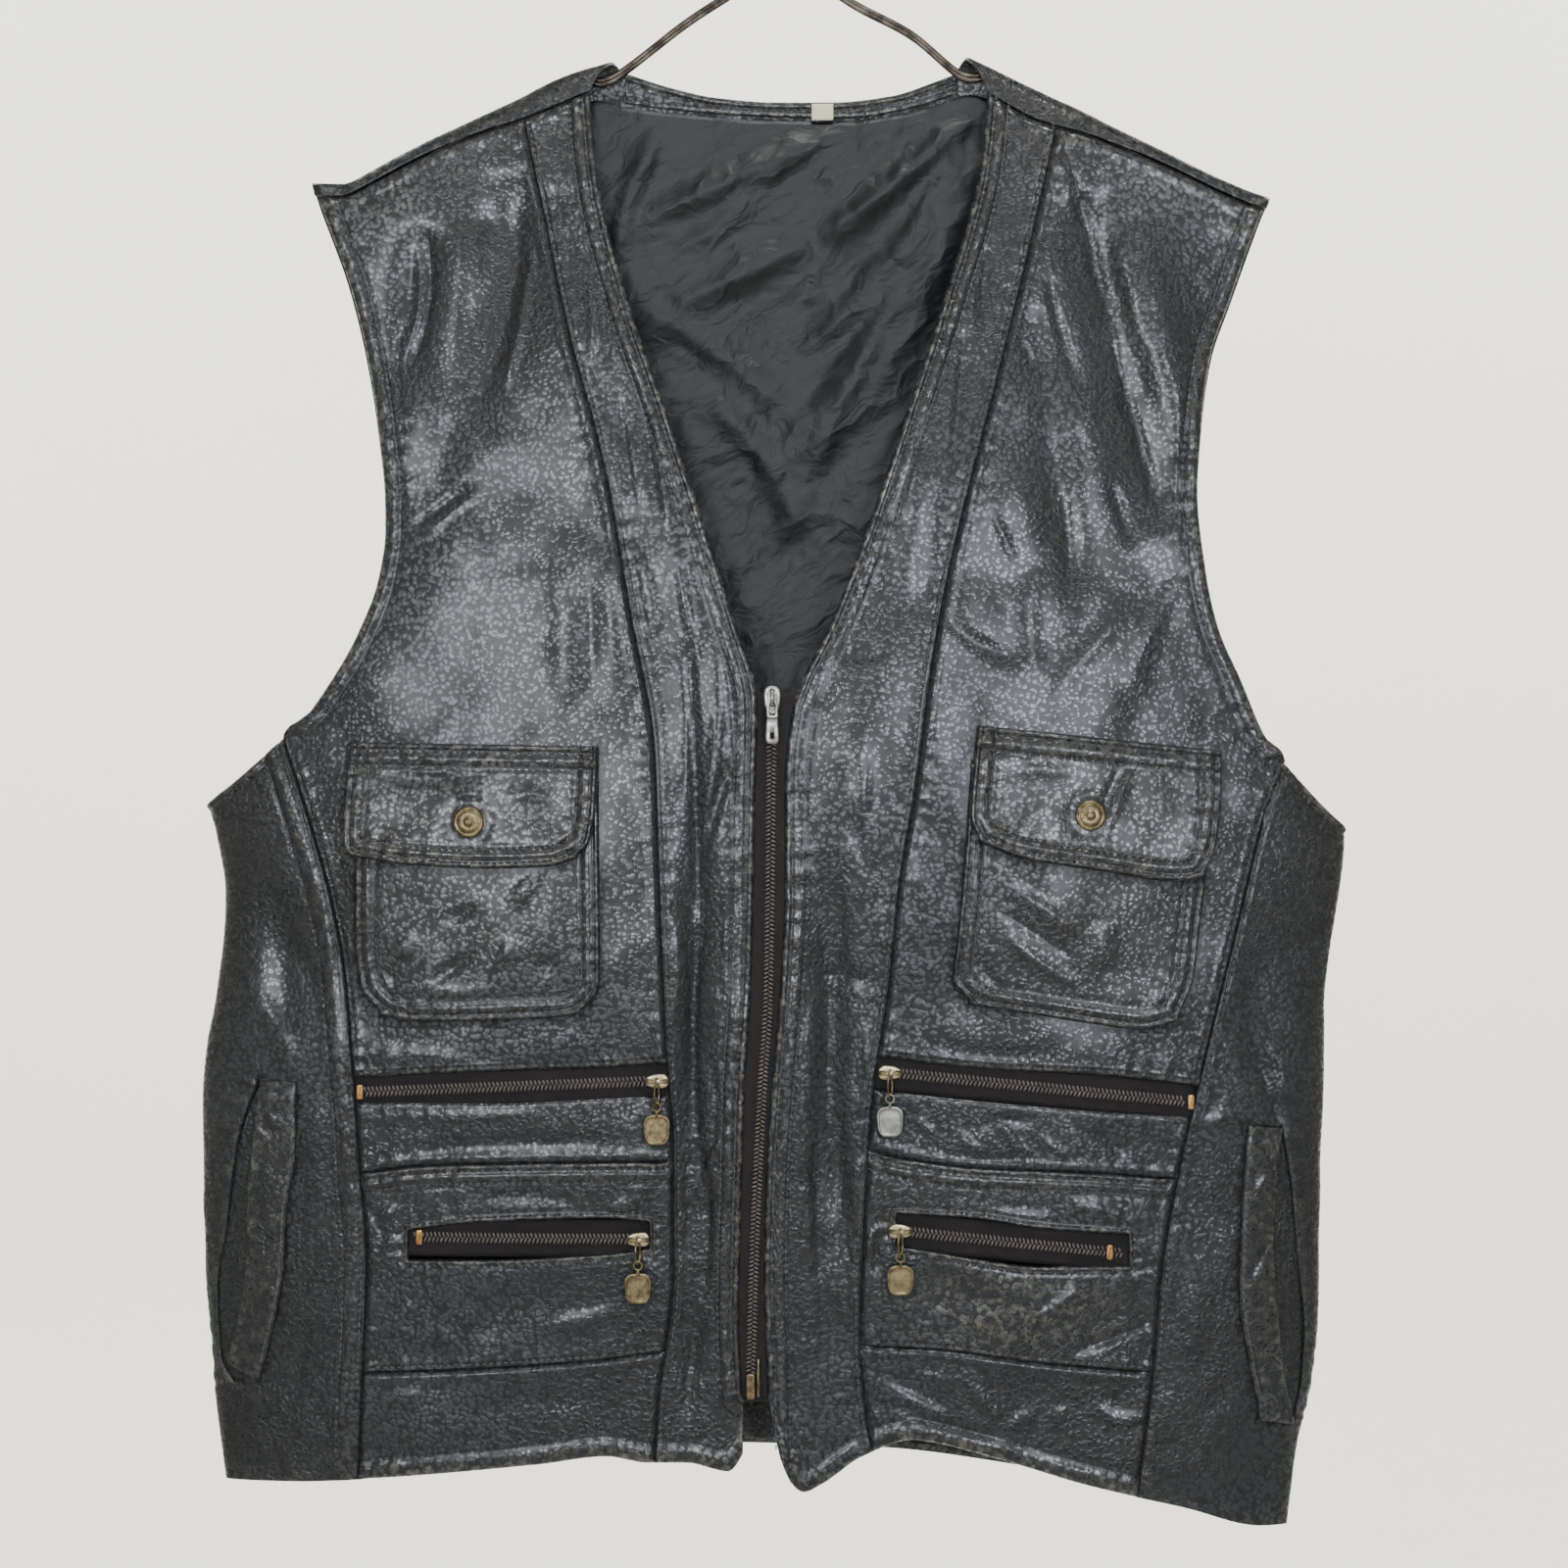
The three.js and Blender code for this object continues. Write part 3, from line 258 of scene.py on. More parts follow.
# The back: one panel of grained cowhide, up the back and over both shoulders to the yoke seams. It is cut
# from one hide, its neck and hem are turned, and every other panel is sewn to it, so the body's form is
# worked out here.

LEATHER = 1.6
GAP = 0.3
BODY_LAYER = (-LEATHER, 0.0)
PATCH_LAYER = (GAP, GAP + LEATHER)
FRONT, BACK = 1, -1
CENTRE_X = -4
SHOULDER_ROUND = 8
SIDE_R = {
    "z": [-80, -181, -250, -300, -345, -402, -449, -479, -491, -522, -568, -620, -690, -749, -804],
    "x": [-275, -275, -245, -232, -228, -240, -262, -278, -275, -270, -274, -281, -281, -277, -270],
}
SIDE_L = {
    "z": [-80, -188, -250, -300, -345, -402, -444, -480, -490, -547, -579, -639, -705, -752, -789, -826],
    "x": [282, 280, 250, 237, 234, 243, 257, 266, 268, 262, 259, 258, 257, 254, 247, 242],
}
HALF_DEPTH = {"drop": [0, 60, 150, 300, 450, 700], "y": [8, 11, 17, 24, 27, 24]}

# The largest folds run from one end to the other: x, z, to x, to z, half width, rise
FRONT_FOLDS = [
    (-128, -178, -172, -345, 15, -4.5), (-175, -200, -185, -280, 10, -2.5),
    (-150, -200, -160, -330, 14, 3), (142, -185, 182, -350, 15, -5), (165, -200, 195, -320, 12, 3),
    (120, -240, 138, -380, 10, -2), (-43, -465, -47, -760, 8, -4), (20, -500, 26, -750, 9, -3.5),
    (-245, -520, -238, -590, 10, -3), (222, -550, 232, -615, 10, -3),
]
BACK_FOLDS = [
    (90, -150, -60, -240, 30, -2), (30, -200, -90, -300, 35, 2), (-120, -450, -90, -780, 45, -3),
    (110, -480, 90, -790, 45, 3),
]
ARMHOLE_R = {
    "z": [-181, -188, -230, -263, -301, -334, -348, -371, -402, -439, -449, -500, -800],
    "x": [-229, -227, -212, -204, -198, -195, -195, -198, -210, -234, -242, -243, -240],
}
ARMHOLE_L = {
    "z": [-186, -198, -240, -263, -287, -310, -329, -369, -395, -420, -444, -461, -500, -820],
    "x": [234, 229, 214, 206, 202, 200, 199, 203, 209, 220, 230, 239, 236, 214],
}
YOKE_DROP = {
    "x": [-228, -190, -152, -107, -96, 98, 116, 149, 187, 232],
    "drop": [6, 6, 8, 14, 13, 15, 16, 9, 6, 6],
}
BACK_NECK = {"x": [-79, -57, -34, -6, 23, 51, 70, 83], "z": [-126, -133, -138, -140, -140, -137, -131, -126]}
BACK_HEM = {"x": [-278, -200, -120, -40, 40, 120, 200, 250],
            "z": [-803, -800, -794, -790, -792, -802, -816, -823]}
NECK_INNER, NECK_OUTER = 81, 96

side_r = through(SIDE_R["z"], SIDE_R["x"])
side_l = through(SIDE_L["z"], SIDE_L["x"])
half_depth = through(HALF_DEPTH["drop"], HALF_DEPTH["y"])
yoke_drop = through(YOKE_DROP["x"], YOKE_DROP["drop"])


def by_height(table, shift=0.0):
    curve = through(table["z"], table["x"])
    return lambda z: curve(z) + shift


def by_width(table, shift=0.0):
    curve = through(table["x"], table["z"])
    return lambda x: curve(x) + shift


def fold_rise(folds, x, z):
    """Height that straight soft folds add at a place."""
    rise = np.zeros(np.shape(x))
    for ax, az, bx, bz, width, most in folds:
        run_x, run_z = bx - ax, bz - az
        s = np.clip(((x - ax) * run_x + (z - az) * run_z) / (run_x**2 + run_z**2), 0, 1)
        away = np.hypot(x - ax - s * run_x, z - az - s * run_z) / width
        rise = rise + most * np.exp(-away * away) * (1 - (2 * s - 1) ** 4)
    return rise


def reach_squared(x, z, side):
    """Squared distance of the leather's outer face from the vest's middle plane."""
    drop = np.maximum(ridge(x) - z, 0)
    bound = np.where(x < CENTRE_X, side_r(z), side_l(z))
    u = np.minimum((x - CENTRE_X) / (bound - CENTRE_X), 1)
    folds = np.where(side == FRONT, fold_rise(FRONT_FOLDS, x, z), fold_rise(BACK_FOLDS, x, z))
    depth = half_depth(drop) + folds
    over = np.where(drop < SHOULDER_ROUND, 1 - (1 - drop / SHOULDER_ROUND) ** 2, 1)
    return depth * depth * (1 - u**3) * over


def body_face(x, z, side):
    """Points of the body's outer face and the directions out of it."""
    step = 0.5
    y = -side * np.sqrt(np.maximum(reach_squared(x, z, side), 0))
    out = np.stack(
        [
            -(reach_squared(x + step, z, side) - reach_squared(x - step, z, side)) / (2 * step), 2 * y,
            -(reach_squared(x, z + step, side) - reach_squared(x, z - step, side)) / (2 * step),
        ],
        -1,
    )
    out /= np.linalg.norm(out, axis=-1, keepdims=True)
    return np.stack([x, y, z], -1), out


def crease_rise(creases, x, z):
    """Height that bowed creases add: x, z, middle x, middle z, to x, to z, half width, rise."""
    rise = np.zeros(np.shape(x))
    t = np.linspace(0, 1, 9)
    for ax, az, mx, mz, bx, bz, width, most in creases:
        reach = 3 * width
        lo_x, hi_x = min(ax, mx, bx) - reach, max(ax, mx, bx) + reach
        lo_z, hi_z = min(az, mz, bz) - reach, max(az, mz, bz) + reach
        near = (x > lo_x) & (x < hi_x) & (z > lo_z) & (z < hi_z)
        if not near.any():
            continue
        px = (1 - t) ** 2 * ax + 2 * t * (1 - t) * (2 * mx - (ax + bx) / 2) + t**2 * bx
        pz = (1 - t) ** 2 * az + 2 * t * (1 - t) * (2 * mz - (az + bz) / 2) + t**2 * bz
        away, along = from_line(x[near], z[near], np.column_stack([px, pz]))
        share = along / np.hypot(np.diff(px), np.diff(pz)).sum()
        rise[near] += most * np.exp(-((away / width) ** 2)) * np.clip(1 - (2 * share - 1) ** 2, 0, 1) ** 0.8
    return rise


def from_line(x, z, line):
    """Distance from a line of points, and the length along it to the nearest place."""
    best = np.full(np.shape(x), np.inf)
    along = np.zeros(np.shape(x))
    run = 0.0
    for (ax, az), (bx, bz) in zip(line[:-1], line[1:]):
        length = max(math.hypot(bx - ax, bz - az), 1e-6)
        t = np.clip(((x - ax) * (bx - ax) + (z - az) * (bz - az)) / length**2, 0, 1)
        away = np.hypot(x - ax - t * (bx - ax), z - az - t * (bz - az))
        nearer = away < best
        best = np.where(nearer, away, best)
        along = np.where(nearer, run + t * length, along)
        run += length
    return best, along


# Where metal is fixed, the leather is held to its solid: x and z of sliders, stops and the zip's box
HELD = [(-7, -430), (-17, -757), (-62, -611), (49, -607), (-71, -687), (54, -683), (-204, -617), (193, -622),
        (-175, -686), (154, -693)]
HELD_REACH = 13


def rolling(x, z, size, turn, seed):
    """Smooth uneven ground, from -1 to 1, with hills about a size apart."""
    table = np.random.default_rng(seed).uniform(-1, 1, (64, 64))
    u = (x * math.cos(turn) + z * math.sin(turn)) / size
    v = (z * math.cos(turn) - x * math.sin(turn)) / size
    i, j = np.floor(u).astype(int), np.floor(v).astype(int)
    s, t = u - i, v - j
    s, t = s * s * s * (s * (6 * s - 15) + 10), t * t * t * (t * (6 * t - 15) + 10)
    near = table[i % 64, j % 64] * (1 - s) + table[(i + 1) % 64, j % 64] * s
    far = table[i % 64, (j + 1) % 64] * (1 - s) + table[(i + 1) % 64, (j + 1) % 64] * s
    return near * (1 - t) + far * t


def slack(x, z):
    """Soft unevenness of old leather, from hills a hand apart to dents of a fingertip."""
    x, z = np.asarray(x, float), np.asarray(z, float)
    hills = 1.5 * rolling(x, z * 0.8, 46, 0.5, 3) + 0.45 * rolling(x, z * 0.85, 23, 1.1, 5)
    hills = hills + 0.13 * rolling(x, z, 11, 0.2, 7)
    free = np.ones(x.shape)
    for hx, hz in HELD:
        free = free * (1 - np.exp(-(((x - hx) ** 2 + (z - hz) ** 2) / HELD_REACH**2)))
    return hills * free


SETTLE = 8


def between(left, right, bottom, top, side=FRONT):
    """Lays a piece between four edges: s across and r upwards give x, z and side."""

    def layout(s, r):
        z = bottom(CENTRE_X) + (top(CENTRE_X) - bottom(CENTRE_X)) * r
        x = CENTRE_X + 0 * s
        for _ in range(SETTLE):
            x = left(z) + (right(z) - left(z)) * s
            z = bottom(x) + (top(x) - bottom(x)) * r
        return x, z, np.full(np.shape(x), side)

    return layout


QUARTER_ROUND = SHOULDER_ROUND * math.pi / 2
ROUND_RUN = 28
ROUND_FROM = 0.7


def path_of(drop):
    inside = SHOULDER_ROUND * np.arccos(np.clip(1 - drop / SHOULDER_ROUND, -1, 1))
    return np.where(drop < SHOULDER_ROUND, inside, QUARTER_ROUND + drop - SHOULDER_ROUND)


def drop_of(path):
    inside = SHOULDER_ROUND * (1 - np.cos(np.minimum(path / SHOULDER_ROUND, math.pi)))
    return np.where(path < QUARTER_ROUND, inside, SHOULDER_ROUND + path - QUARTER_ROUND)


def over_shoulders(left, right, bottom):
    """Lays the back: up the back, and over the shoulders to the yoke seams outside the neck."""
    neck = by_width(BACK_NECK)

    def start(x):
        s = np.clip((np.abs(x - 1) - NECK_INNER) / (NECK_OUTER - NECK_INNER), 0, 1)
        inner = path_of(np.maximum(ridge(x) - neck(x), 0))
        outer = -path_of(yoke_drop(x)) + GAP / 2
        return inner + (outer - inner) * s

    def layout(s, r):
        x = CENTRE_X + 0 * s
        z = -400 + 0 * s
        path = z
        for _ in range(SETTLE):
            x = left(z) + (right(z) - left(z)) * s
            low = path_of(ridge(x) - bottom(x))
            knee = start(x) + ROUND_RUN
            below = low + (knee - low) * r / ROUND_FROM
            above = knee + (start(x) - knee) * (r - ROUND_FROM) / (1 - ROUND_FROM)
            path = np.where(r < ROUND_FROM, below, above)
            z = ridge(x) - drop_of(np.abs(path))
        return x, z, np.where(path > 0, BACK, FRONT)

    return layout


EDGE_STEPS = (0.0, 0.45, 1.1, 2.0, 3.2, 4.8, 6.6, 8.8, 11.2)


def cuts(length, cell, first=True, last=True):
    """Shares of a length that are close together at its edges and a cell apart between them."""
    head = [d for d in EDGE_STEPS if d < length / 2 - cell] if first else [0.0]
    tail = [length - d for d in EDGE_STEPS if d < length / 2 - cell][::-1] if last else [length]
    count = max(int(round((tail[0] - head[-1]) / cell)), 1)
    middle = list(np.linspace(head[-1], tail[0], count + 1)[1:-1])
    return np.array([*head, *middle, *tail]) / length


def edge_line(curve, start, end, upright=True, count=48):
    """An edge as a line of (x, z) points, from a curve by height or by width."""
    at = np.linspace(start, end, count)
    return np.column_stack([curve(at), at] if upright else [at, curve(at)])


ROLL = 1.7  # the bend of a turned edge
NO_ROW = 99.0
SEAM_SHADE = 0.8  # how far a seam's painted shade, and its dullness, reach
RUB_AT, RUB_WIDTH = 1.7, 1.5  # where a turned edge is rubbed


def seam_rise(away, kind, rows):
    """How an edge shapes the outer face: a turned edge rolls under and puffs to its stitches."""
    if kind == "turned":
        bend = np.clip(away / ROLL, 0, 1)
        rise = -1.25 * (1 - np.sqrt(np.clip(1 - (1 - bend) ** 2, 0, 1)))
    else:
        rise = -1.1 * np.exp(-((away / 1.3) ** 2)) + 0.45 * np.exp(-(((away - 3.0) / 1.5) ** 2))
    reach = 0.0
    for row in rows:
        middle = (reach + row) / 2
        width = (row - reach) / 2
        rise = rise + 0.9 * np.clip(1 - ((away - middle) / width) ** 2, 0, 1)
        rise = rise - 0.5 * np.exp(-(((away - row) / 0.9) ** 2))
        reach = row
    return rise


def pucker(away, along, kind):
    """Small gathers that run in from a sewn edge, uneven in length and spacing."""
    wave = np.sin(along / 1.45 + 2.2 * np.sin(along / 17.0) + 1.4 * np.sin(along / 6.1))
    strong = 0.5 + 0.5 * np.sin(along / 23.0 + 1.7)
    most, reach, start = (0.34, 7.0, 6.0) if kind == "turned" else (0.3, 5.0, 2.5)
    return most * strong * wave * np.exp(-(((away - start) / reach) ** 2)) * np.clip(away / 1.5, 0, 1)


def laid_mesh(name, outer, inner, keep, away_from, material, body="vest"):
    """A closed shell from two grids of points; the cells that aren't kept leave an opening with its rim."""
    ny, nx = outer.shape[:2]
    ids = np.arange(nx * ny).reshape(ny, nx)
    a, b, c, d = ids[:-1, :-1], ids[:-1, 1:], ids[1:, 1:], ids[1:, :-1]
    middle = (ny // 2, nx // 2)
    across = outer[middle[0], middle[1] + 1] - outer[middle]
    upward = outer[middle[0] + 1, middle[1]] - outer[middle]
    if np.dot(np.cross(across, upward), away_from[middle]) < 0:
        b, d = d, b
    top = np.stack([a, b, c, d], -1)[keep]
    low = top[:, ::-1] + nx * ny
    edges = np.concatenate([top[:, [i, (i + 1) % 4]] for i in range(4)])
    key = np.sort(edges, 1)
    key = key[:, 0] * nx * ny + key[:, 1]
    values, first, uses = np.unique(key, return_index=True, return_counts=True)
    rim = edges[first[uses == 1]]
    rim = np.stack([rim[:, 1], rim[:, 0], rim[:, 0] + nx * ny, rim[:, 1] + nx * ny], -1)
    faces = np.concatenate([top, low, rim])
    points = np.concatenate([outer.reshape(-1, 3), inner.reshape(-1, 3)])
    used = np.unique(faces)
    renumber = np.zeros(len(points), int)
    renumber[used] = np.arange(len(used))
    made = piece(name, points[used], renumber[faces], material, body)
    return made, used


def sewn_panel(name, layout, across, upward, layer, edges, creases=(), swell=None, hole=None, worn=None,
               material=None, uneven=1.0, inward=False, under=()):
    """One cut piece as a thin shell on the body, and the function that places things on its outer face.

    edges has "side" and "end" lists of (line, kind, rows), for the upright and the level edges. A piece
    that faces inward follows the creases of what it lies in, and swells the other way. under has lines,
    with a width for each, where the edge of another piece lies on this one; there the panel is painted
    darker as its shadow.
    """
    hand = -1 if inward else 1

    def lift_of(x, z):
        lift = crease_rise(creases, x, z) + uneven * slack(x, z)
        return lift if swell is None else lift + hand * swell(x, z)

    def rows_of(group, x, z):
        """Rise from the nearest edge, distances to its stitch rows, its painted seam shade and its worn roll.
        """
        best = np.full(np.shape(x), np.inf)
        rise, painted_shade, rub = [np.zeros(np.shape(x)) for _ in range(3)]
        near, far, along = [np.full(np.shape(x), NO_ROW) for _ in range(3)]
        for line, kind, rows in group:
            away, run = from_line(x, z, line)
            nearer = away < best
            best = np.where(nearer, away, best)
            rise = np.where(nearer, seam_rise(away, kind, rows) + pucker(away, run, kind), rise)
            near = np.where(nearer, away - rows[0] if rows else NO_ROW, near)
            far = np.where(nearer, away - rows[1] if len(rows) > 1 else NO_ROW, far)
            along = np.where(nearer, run, along)
            # A seam's crease is painted dark as shade
            if kind == "seam":
                painted_shade = np.maximum(painted_shade, np.exp(-((away / SEAM_SHADE) ** 2)))
            else:
                rub = np.maximum(rub, np.exp(-(((away - RUB_AT) / RUB_WIDTH) ** 2)))
        return rise, np.stack([near, far, along], -1), painted_shade, rub

    def skin(x, z, side=None):
        x, z = np.asarray(x, float), np.asarray(z, float)
        side = np.full(x.shape, FRONT) if side is None else side
        point, out = body_face(x, z, side)
        rise = sum(rows_of(group, x, z)[0] for group in edges.values())
        return point + out * (layer[1] + lift_of(x, z) + hand * rise)[..., None], out * hand

    s, r = np.meshgrid(across, upward)
    x, z, side = layout(s, r)
    point, out = body_face(x, z, side)
    lift = lift_of(x, z)
    rise_side, side_rows, side_painted_shade, side_rub = rows_of(edges.get("side", []), x, z)
    rise_end, end_rows, end_painted_shade, end_rub = rows_of(edges.get("end", []), x, z)
    outer = point + out * (layer[1] + lift + hand * (rise_side + rise_end))[..., None]
    inner = point + out * (layer[0] + lift)[..., None]
    keep = np.ones((len(upward) - 1, len(across) - 1), bool)
    if hole is not None:
        mid_s, mid_r = (s[:-1, :-1] + s[1:, 1:]) / 2, (r[:-1, :-1] + r[1:, 1:]) / 2
        keep = ~((mid_s > hole[0]) & (mid_s < hole[1]) & (mid_r > hole[2]) & (mid_r < hole[3]))
    made, used = laid_mesh(name, outer, inner, keep, out * hand, material or COWHIDE)
    for label, rows in (("rows_side", side_rows), ("rows_end", end_rows)):
        flat = rows.reshape(-1, 3)
        both = np.concatenate([flat, np.full(flat.shape, NO_ROW)])[used]
        made.data.attributes.new(label, "FLOAT_VECTOR", "POINT").data.foreach_set("vector", both.ravel())
    wear = np.zeros(x.shape) if worn is None else np.clip(worn(x, z), 0, 1)
    high = np.clip(rise_side + rise_end + 0.3 * lift, 0, 1)
    wear = np.clip(wear + 0.5 * high + 0.6 * np.maximum(side_rub, end_rub), 0, 1)
    painted_shade = np.maximum(side_painted_shade, end_painted_shade)
    # A painted shadow darkens the panel where another piece's edge lies on it
    for line, width in under:
        painted_shade = np.maximum(painted_shade, np.exp(-((from_line(x, z, line)[0] / width) ** 2)))
    for label, values in (("wear", wear), ("painted_shade", painted_shade)):
        both = np.concatenate([values.ravel(), values.ravel()])[used]
        made.data.attributes.new(label, "FLOAT", "POINT").data.foreach_set("value", both)
    return made, skin


PEBBLE = 0.0024  # the width of the hide's pebbles; the photograph shows them a little smaller, about 2.1 mm
STITCH = 3.4  # mm from hole to hole


def grained_hide(name, deep, worn_colour, pebble, rough):
    """Pigmented cowhide: raised pebbles with glossy tops, dull furrows painted dark as shade, rubbed paler
    where it wears.
    """
    material, tree, where = new_material(name)
    stray = put(tree, "TexNoise", {"Vector": where, "Scale": 0.5 / pebble, "Detail": 1.0}).outputs["Color"]
    centred = put(tree, "VectorMath", {0: stray, 1: (0.5, 0.5, 0.5)}, operation="SUBTRACT")
    pushed = put(tree, "VectorMath", {0: centred, 3: 1.2 * pebble}, operation="SCALE")
    wavy = put(tree, "VectorMath", {0: where, 1: pushed}, operation="ADD")
    cell = put(tree, "TexVoronoi", {"Vector": wavy, "Scale": 1 / pebble})
    dome = put(tree, "Math", {0: cell, 1: cell}, operation="MULTIPLY")
    pads = put(tree, "MapRange", {"Value": cell, "From Min": 0.64, "From Max": 0.4})
    patches = put(tree, "TexNoise", {"Vector": where, "Scale": 34.0, "Detail": 2.0})
    depths = {"Value": patches, "From Min": 0.36, "From Max": 0.62, "To Min": 0.5, "To Max": 1.1}
    # Rubbed edges have lost their grain
    wear = put(tree, "Attribute", attribute_name="wear").outputs["Fac"]
    left_over = put(tree, "MapRange", {"Value": wear, "To Min": 1.0, "To Max": 0.2})
    strength = put(tree, "Math", {0: put(tree, "MapRange", depths), 1: left_over}, operation="MULTIPLY")
    # Each pebble is nearly flat on top, and its sides fall steeply into the furrow
    crown = put(tree, "Math", {0: dome, 1: -0.42}, operation="MULTIPLY")
    crown = put(tree, "Math", {0: pads, 1: 0.16, 2: crown}, operation="MULTIPLY_ADD")
    grain = put(tree, "Math", {0: crown, 1: strength}, operation="MULTIPLY")

    # Broken rumples from 5 to 15 mm across, where the hide has bent in wear. The lower part, which is sat
    # on and carries the loaded pockets, is rumpled twice as deep.
    drawn = put(tree, "Mapping", {"Vector": where, "Scale": (1.0, 1.0, 0.7), "Rotation": (0.0, 0.6, 0.0)})
    rumple = put(tree, "TexNoise", {"Vector": drawn, "Scale": 62.0, "Detail": 2.0, "Distortion": 0.5})
    height = put(tree, "SeparateXYZ", {0: where}).outputs["Z"]
    used = {"Value": height, "From Min": -0.56, "From Max": -0.66, "To Min": 0.8, "To Max": 2.2}
    rumple = put(tree, "Math", {0: rumple, 1: put(tree, "MapRange", used)}, operation="MULTIPLY")

    # A furrow pressed in by each row of stitches, deepest at the needle holes
    furrow = None
    fade = {"From Min": 0.0, "From Max": 1.35, "To Min": 1.0, "To Max": 0.0}
    for label in ("rows_side", "rows_end"):
        rows = put(tree, "Attribute", attribute_name=label).outputs["Vector"]
        split = put(tree, "SeparateXYZ", {0: rows})
        turn = put(tree, "Math", {0: split.outputs["Z"], 1: TURN / STITCH}, operation="MULTIPLY")
        holes = put(tree, "Math", {0: turn}, operation="COSINE")
        deep_at = put(tree, "MapRange", {"Value": holes, "From Min": -1.0, "To Min": 0.25, "To Max": 1.0})
        for axis in ("X", "Y"):
            near = put(tree, "Math", {0: split.outputs[axis]}, operation="ABSOLUTE")
            band = put(tree, "MapRange", {"Value": near, **fade}, interpolation_type="SMOOTHSTEP")
            row = put(tree, "Math", {0: band, 1: deep_at}, operation="MULTIPLY")
            furrow = put(tree, "Math", {0: furrow, 1: row}, operation="MAXIMUM") if furrow else row
    low = put(tree, "Math", {0: furrow, 1: -1.0}, operation="MULTIPLY")
    normal = put(tree, "Bump", {"Height": low, "Distance": 0.0007, "Strength": 0.9})
    for form, distance, share in ((rumple, 0.0013, 0.7), (grain, 0.00074, 1.0)):
        normal = put(tree, "Bump", {"Height": form, "Distance": distance, "Strength": share,
                                    "Normal": normal})

    cloud = put(tree, "TexNoise", {"Vector": where, "Scale": 9.0, "Detail": 3.0})
    tone = put(tree, "MapRange", {"Value": cloud, "From Min": 0.38, "From Max": 0.64})
    # The furrows between the pebbles are painted near black as shade; the pebble tops vary at random between
    # two tones
    colour = mix_colours(tree, pads, deep[2], mix_colours(tree, tone, deep[0], deep[1]))
    rubbed = put(tree, "Math", {0: wear, 1: pads}, operation="MULTIPLY")
    scuffs = put(tree, "TexNoise", {"Vector": where, "Scale": 260.0, "Detail": 1.0})
    scuffed = put(tree, "MapRange", {"Value": scuffs, "From Min": 0.38, "From Max": 0.7})
    rubbed = put(tree, "Math", {0: rubbed, 1: scuffed}, operation="MULTIPLY")
    colour = mix_colours(tree, rubbed, colour, worn_colour)
    # Painted shade: along seams, and round pieces that lie on this one, the colour goes nearly black and the
    # shine dulls
    painted_shade = put(tree, "Attribute", attribute_name="painted_shade").outputs["Fac"]
    shade_share = put(tree, "Math", {0: painted_shade, 1: 0.85}, operation="MULTIPLY")
    colour = mix_colours(tree, shade_share, colour, "#040506")
    dull = put(tree, "MapRange", {"Value": pads, "To Min": rough + 0.4, "To Max": rough})
    vary = {"Value": cloud, "From Min": 0.3, "From Max": 0.7, "To Min": -0.05, "To Max": 0.08}
    roughness = put(tree, "Math", {0: dull, 1: put(tree, "MapRange", vary)}, operation="ADD")
    roughness = put(tree, "Math", {0: painted_shade, 1: 0.45, 2: roughness}, operation="MULTIPLY_ADD")
    show(tree, {
        "Base Color": colour, "Roughness": roughness, "IOR": 1.5, "Coat Weight": 0.25,
        "Coat Roughness": 0.2, "Normal": normal,
    })
    return material


# Chrome-tanned cowhide with a pressed pebble grain and a blue-black pigment finish: furrows painted
# near black as shade, pebbles that catch the light as points, and rubbed edges gone grey-brown.
COWHIDE = grained_hide("pebble_grained_cowhide_pigmented", ("#13191e", "#1e262d", "#040507"), "#5a5850",
                       PEBBLE, 0.25)


def capsules(starts, ends, out, radius, arch, sides=5):
    """Short rounded strokes from place to place, arched off the surface: points and faces of them all."""
    starts, ends, out = np.asarray(starts, float), np.asarray(ends, float), np.asarray(out, float)
    along = ends - starts
    cross = np.cross(along, out)
    cross /= np.linalg.norm(cross, axis=1, keepdims=True)
    lift = np.cross(cross, along)
    lift /= np.linalg.norm(lift, axis=1, keepdims=True)
    share = np.array([0.0, 0.22, 0.5, 0.78, 1.0])
    size = radius * np.array([0.45, 0.95, 1.0, 0.95, 0.45])
    high = arch * (1 - (2 * share - 1) ** 2)
    rings = []
    for t, r, h in zip(share, size, high):
        centre = starts + along * t + lift * h
        for k in range(sides):
            a = TURN * k / sides
            rings.append(centre + cross * (r * math.cos(a)) + lift * (r * math.sin(a)))
    points = np.stack(rings, 1)
    per = len(share) * sides
    one = ring_faces(len(share), sides)
    faces = [tuple(i * per + v for v in face) for i in range(len(starts)) for face in one]
    return points.reshape(-1, 3), faces


def stepped(line, pitch):
    """Points a pitch apart along a line of (x, z) points."""
    line = np.asarray(line, float)
    run = np.concatenate([[0], np.cumsum(np.hypot(*np.diff(line, axis=0).T))])
    at = np.arange(0, run[-1], pitch)
    return np.column_stack([np.interp(at, run, line[:, 0]), np.interp(at, run, line[:, 1])])


def inset_line(line, amount, into):
    """A line moved sideways by an amount, to the side that a direction points to."""
    line = np.asarray(line, float)
    ahead = np.gradient(line, axis=0)
    normal = np.column_stack([ahead[:, 1], -ahead[:, 0]])
    normal /= np.linalg.norm(normal, axis=1, keepdims=True)
    normal *= np.sign(normal @ np.asarray(into, float))[:, None]
    return line + amount * normal


def stitch_line(curve, inset, into, start, end, upright=True):
    """A row of stitches at an inset from an edge."""
    return inset_line(edge_line(curve, start, end, upright), inset, into)


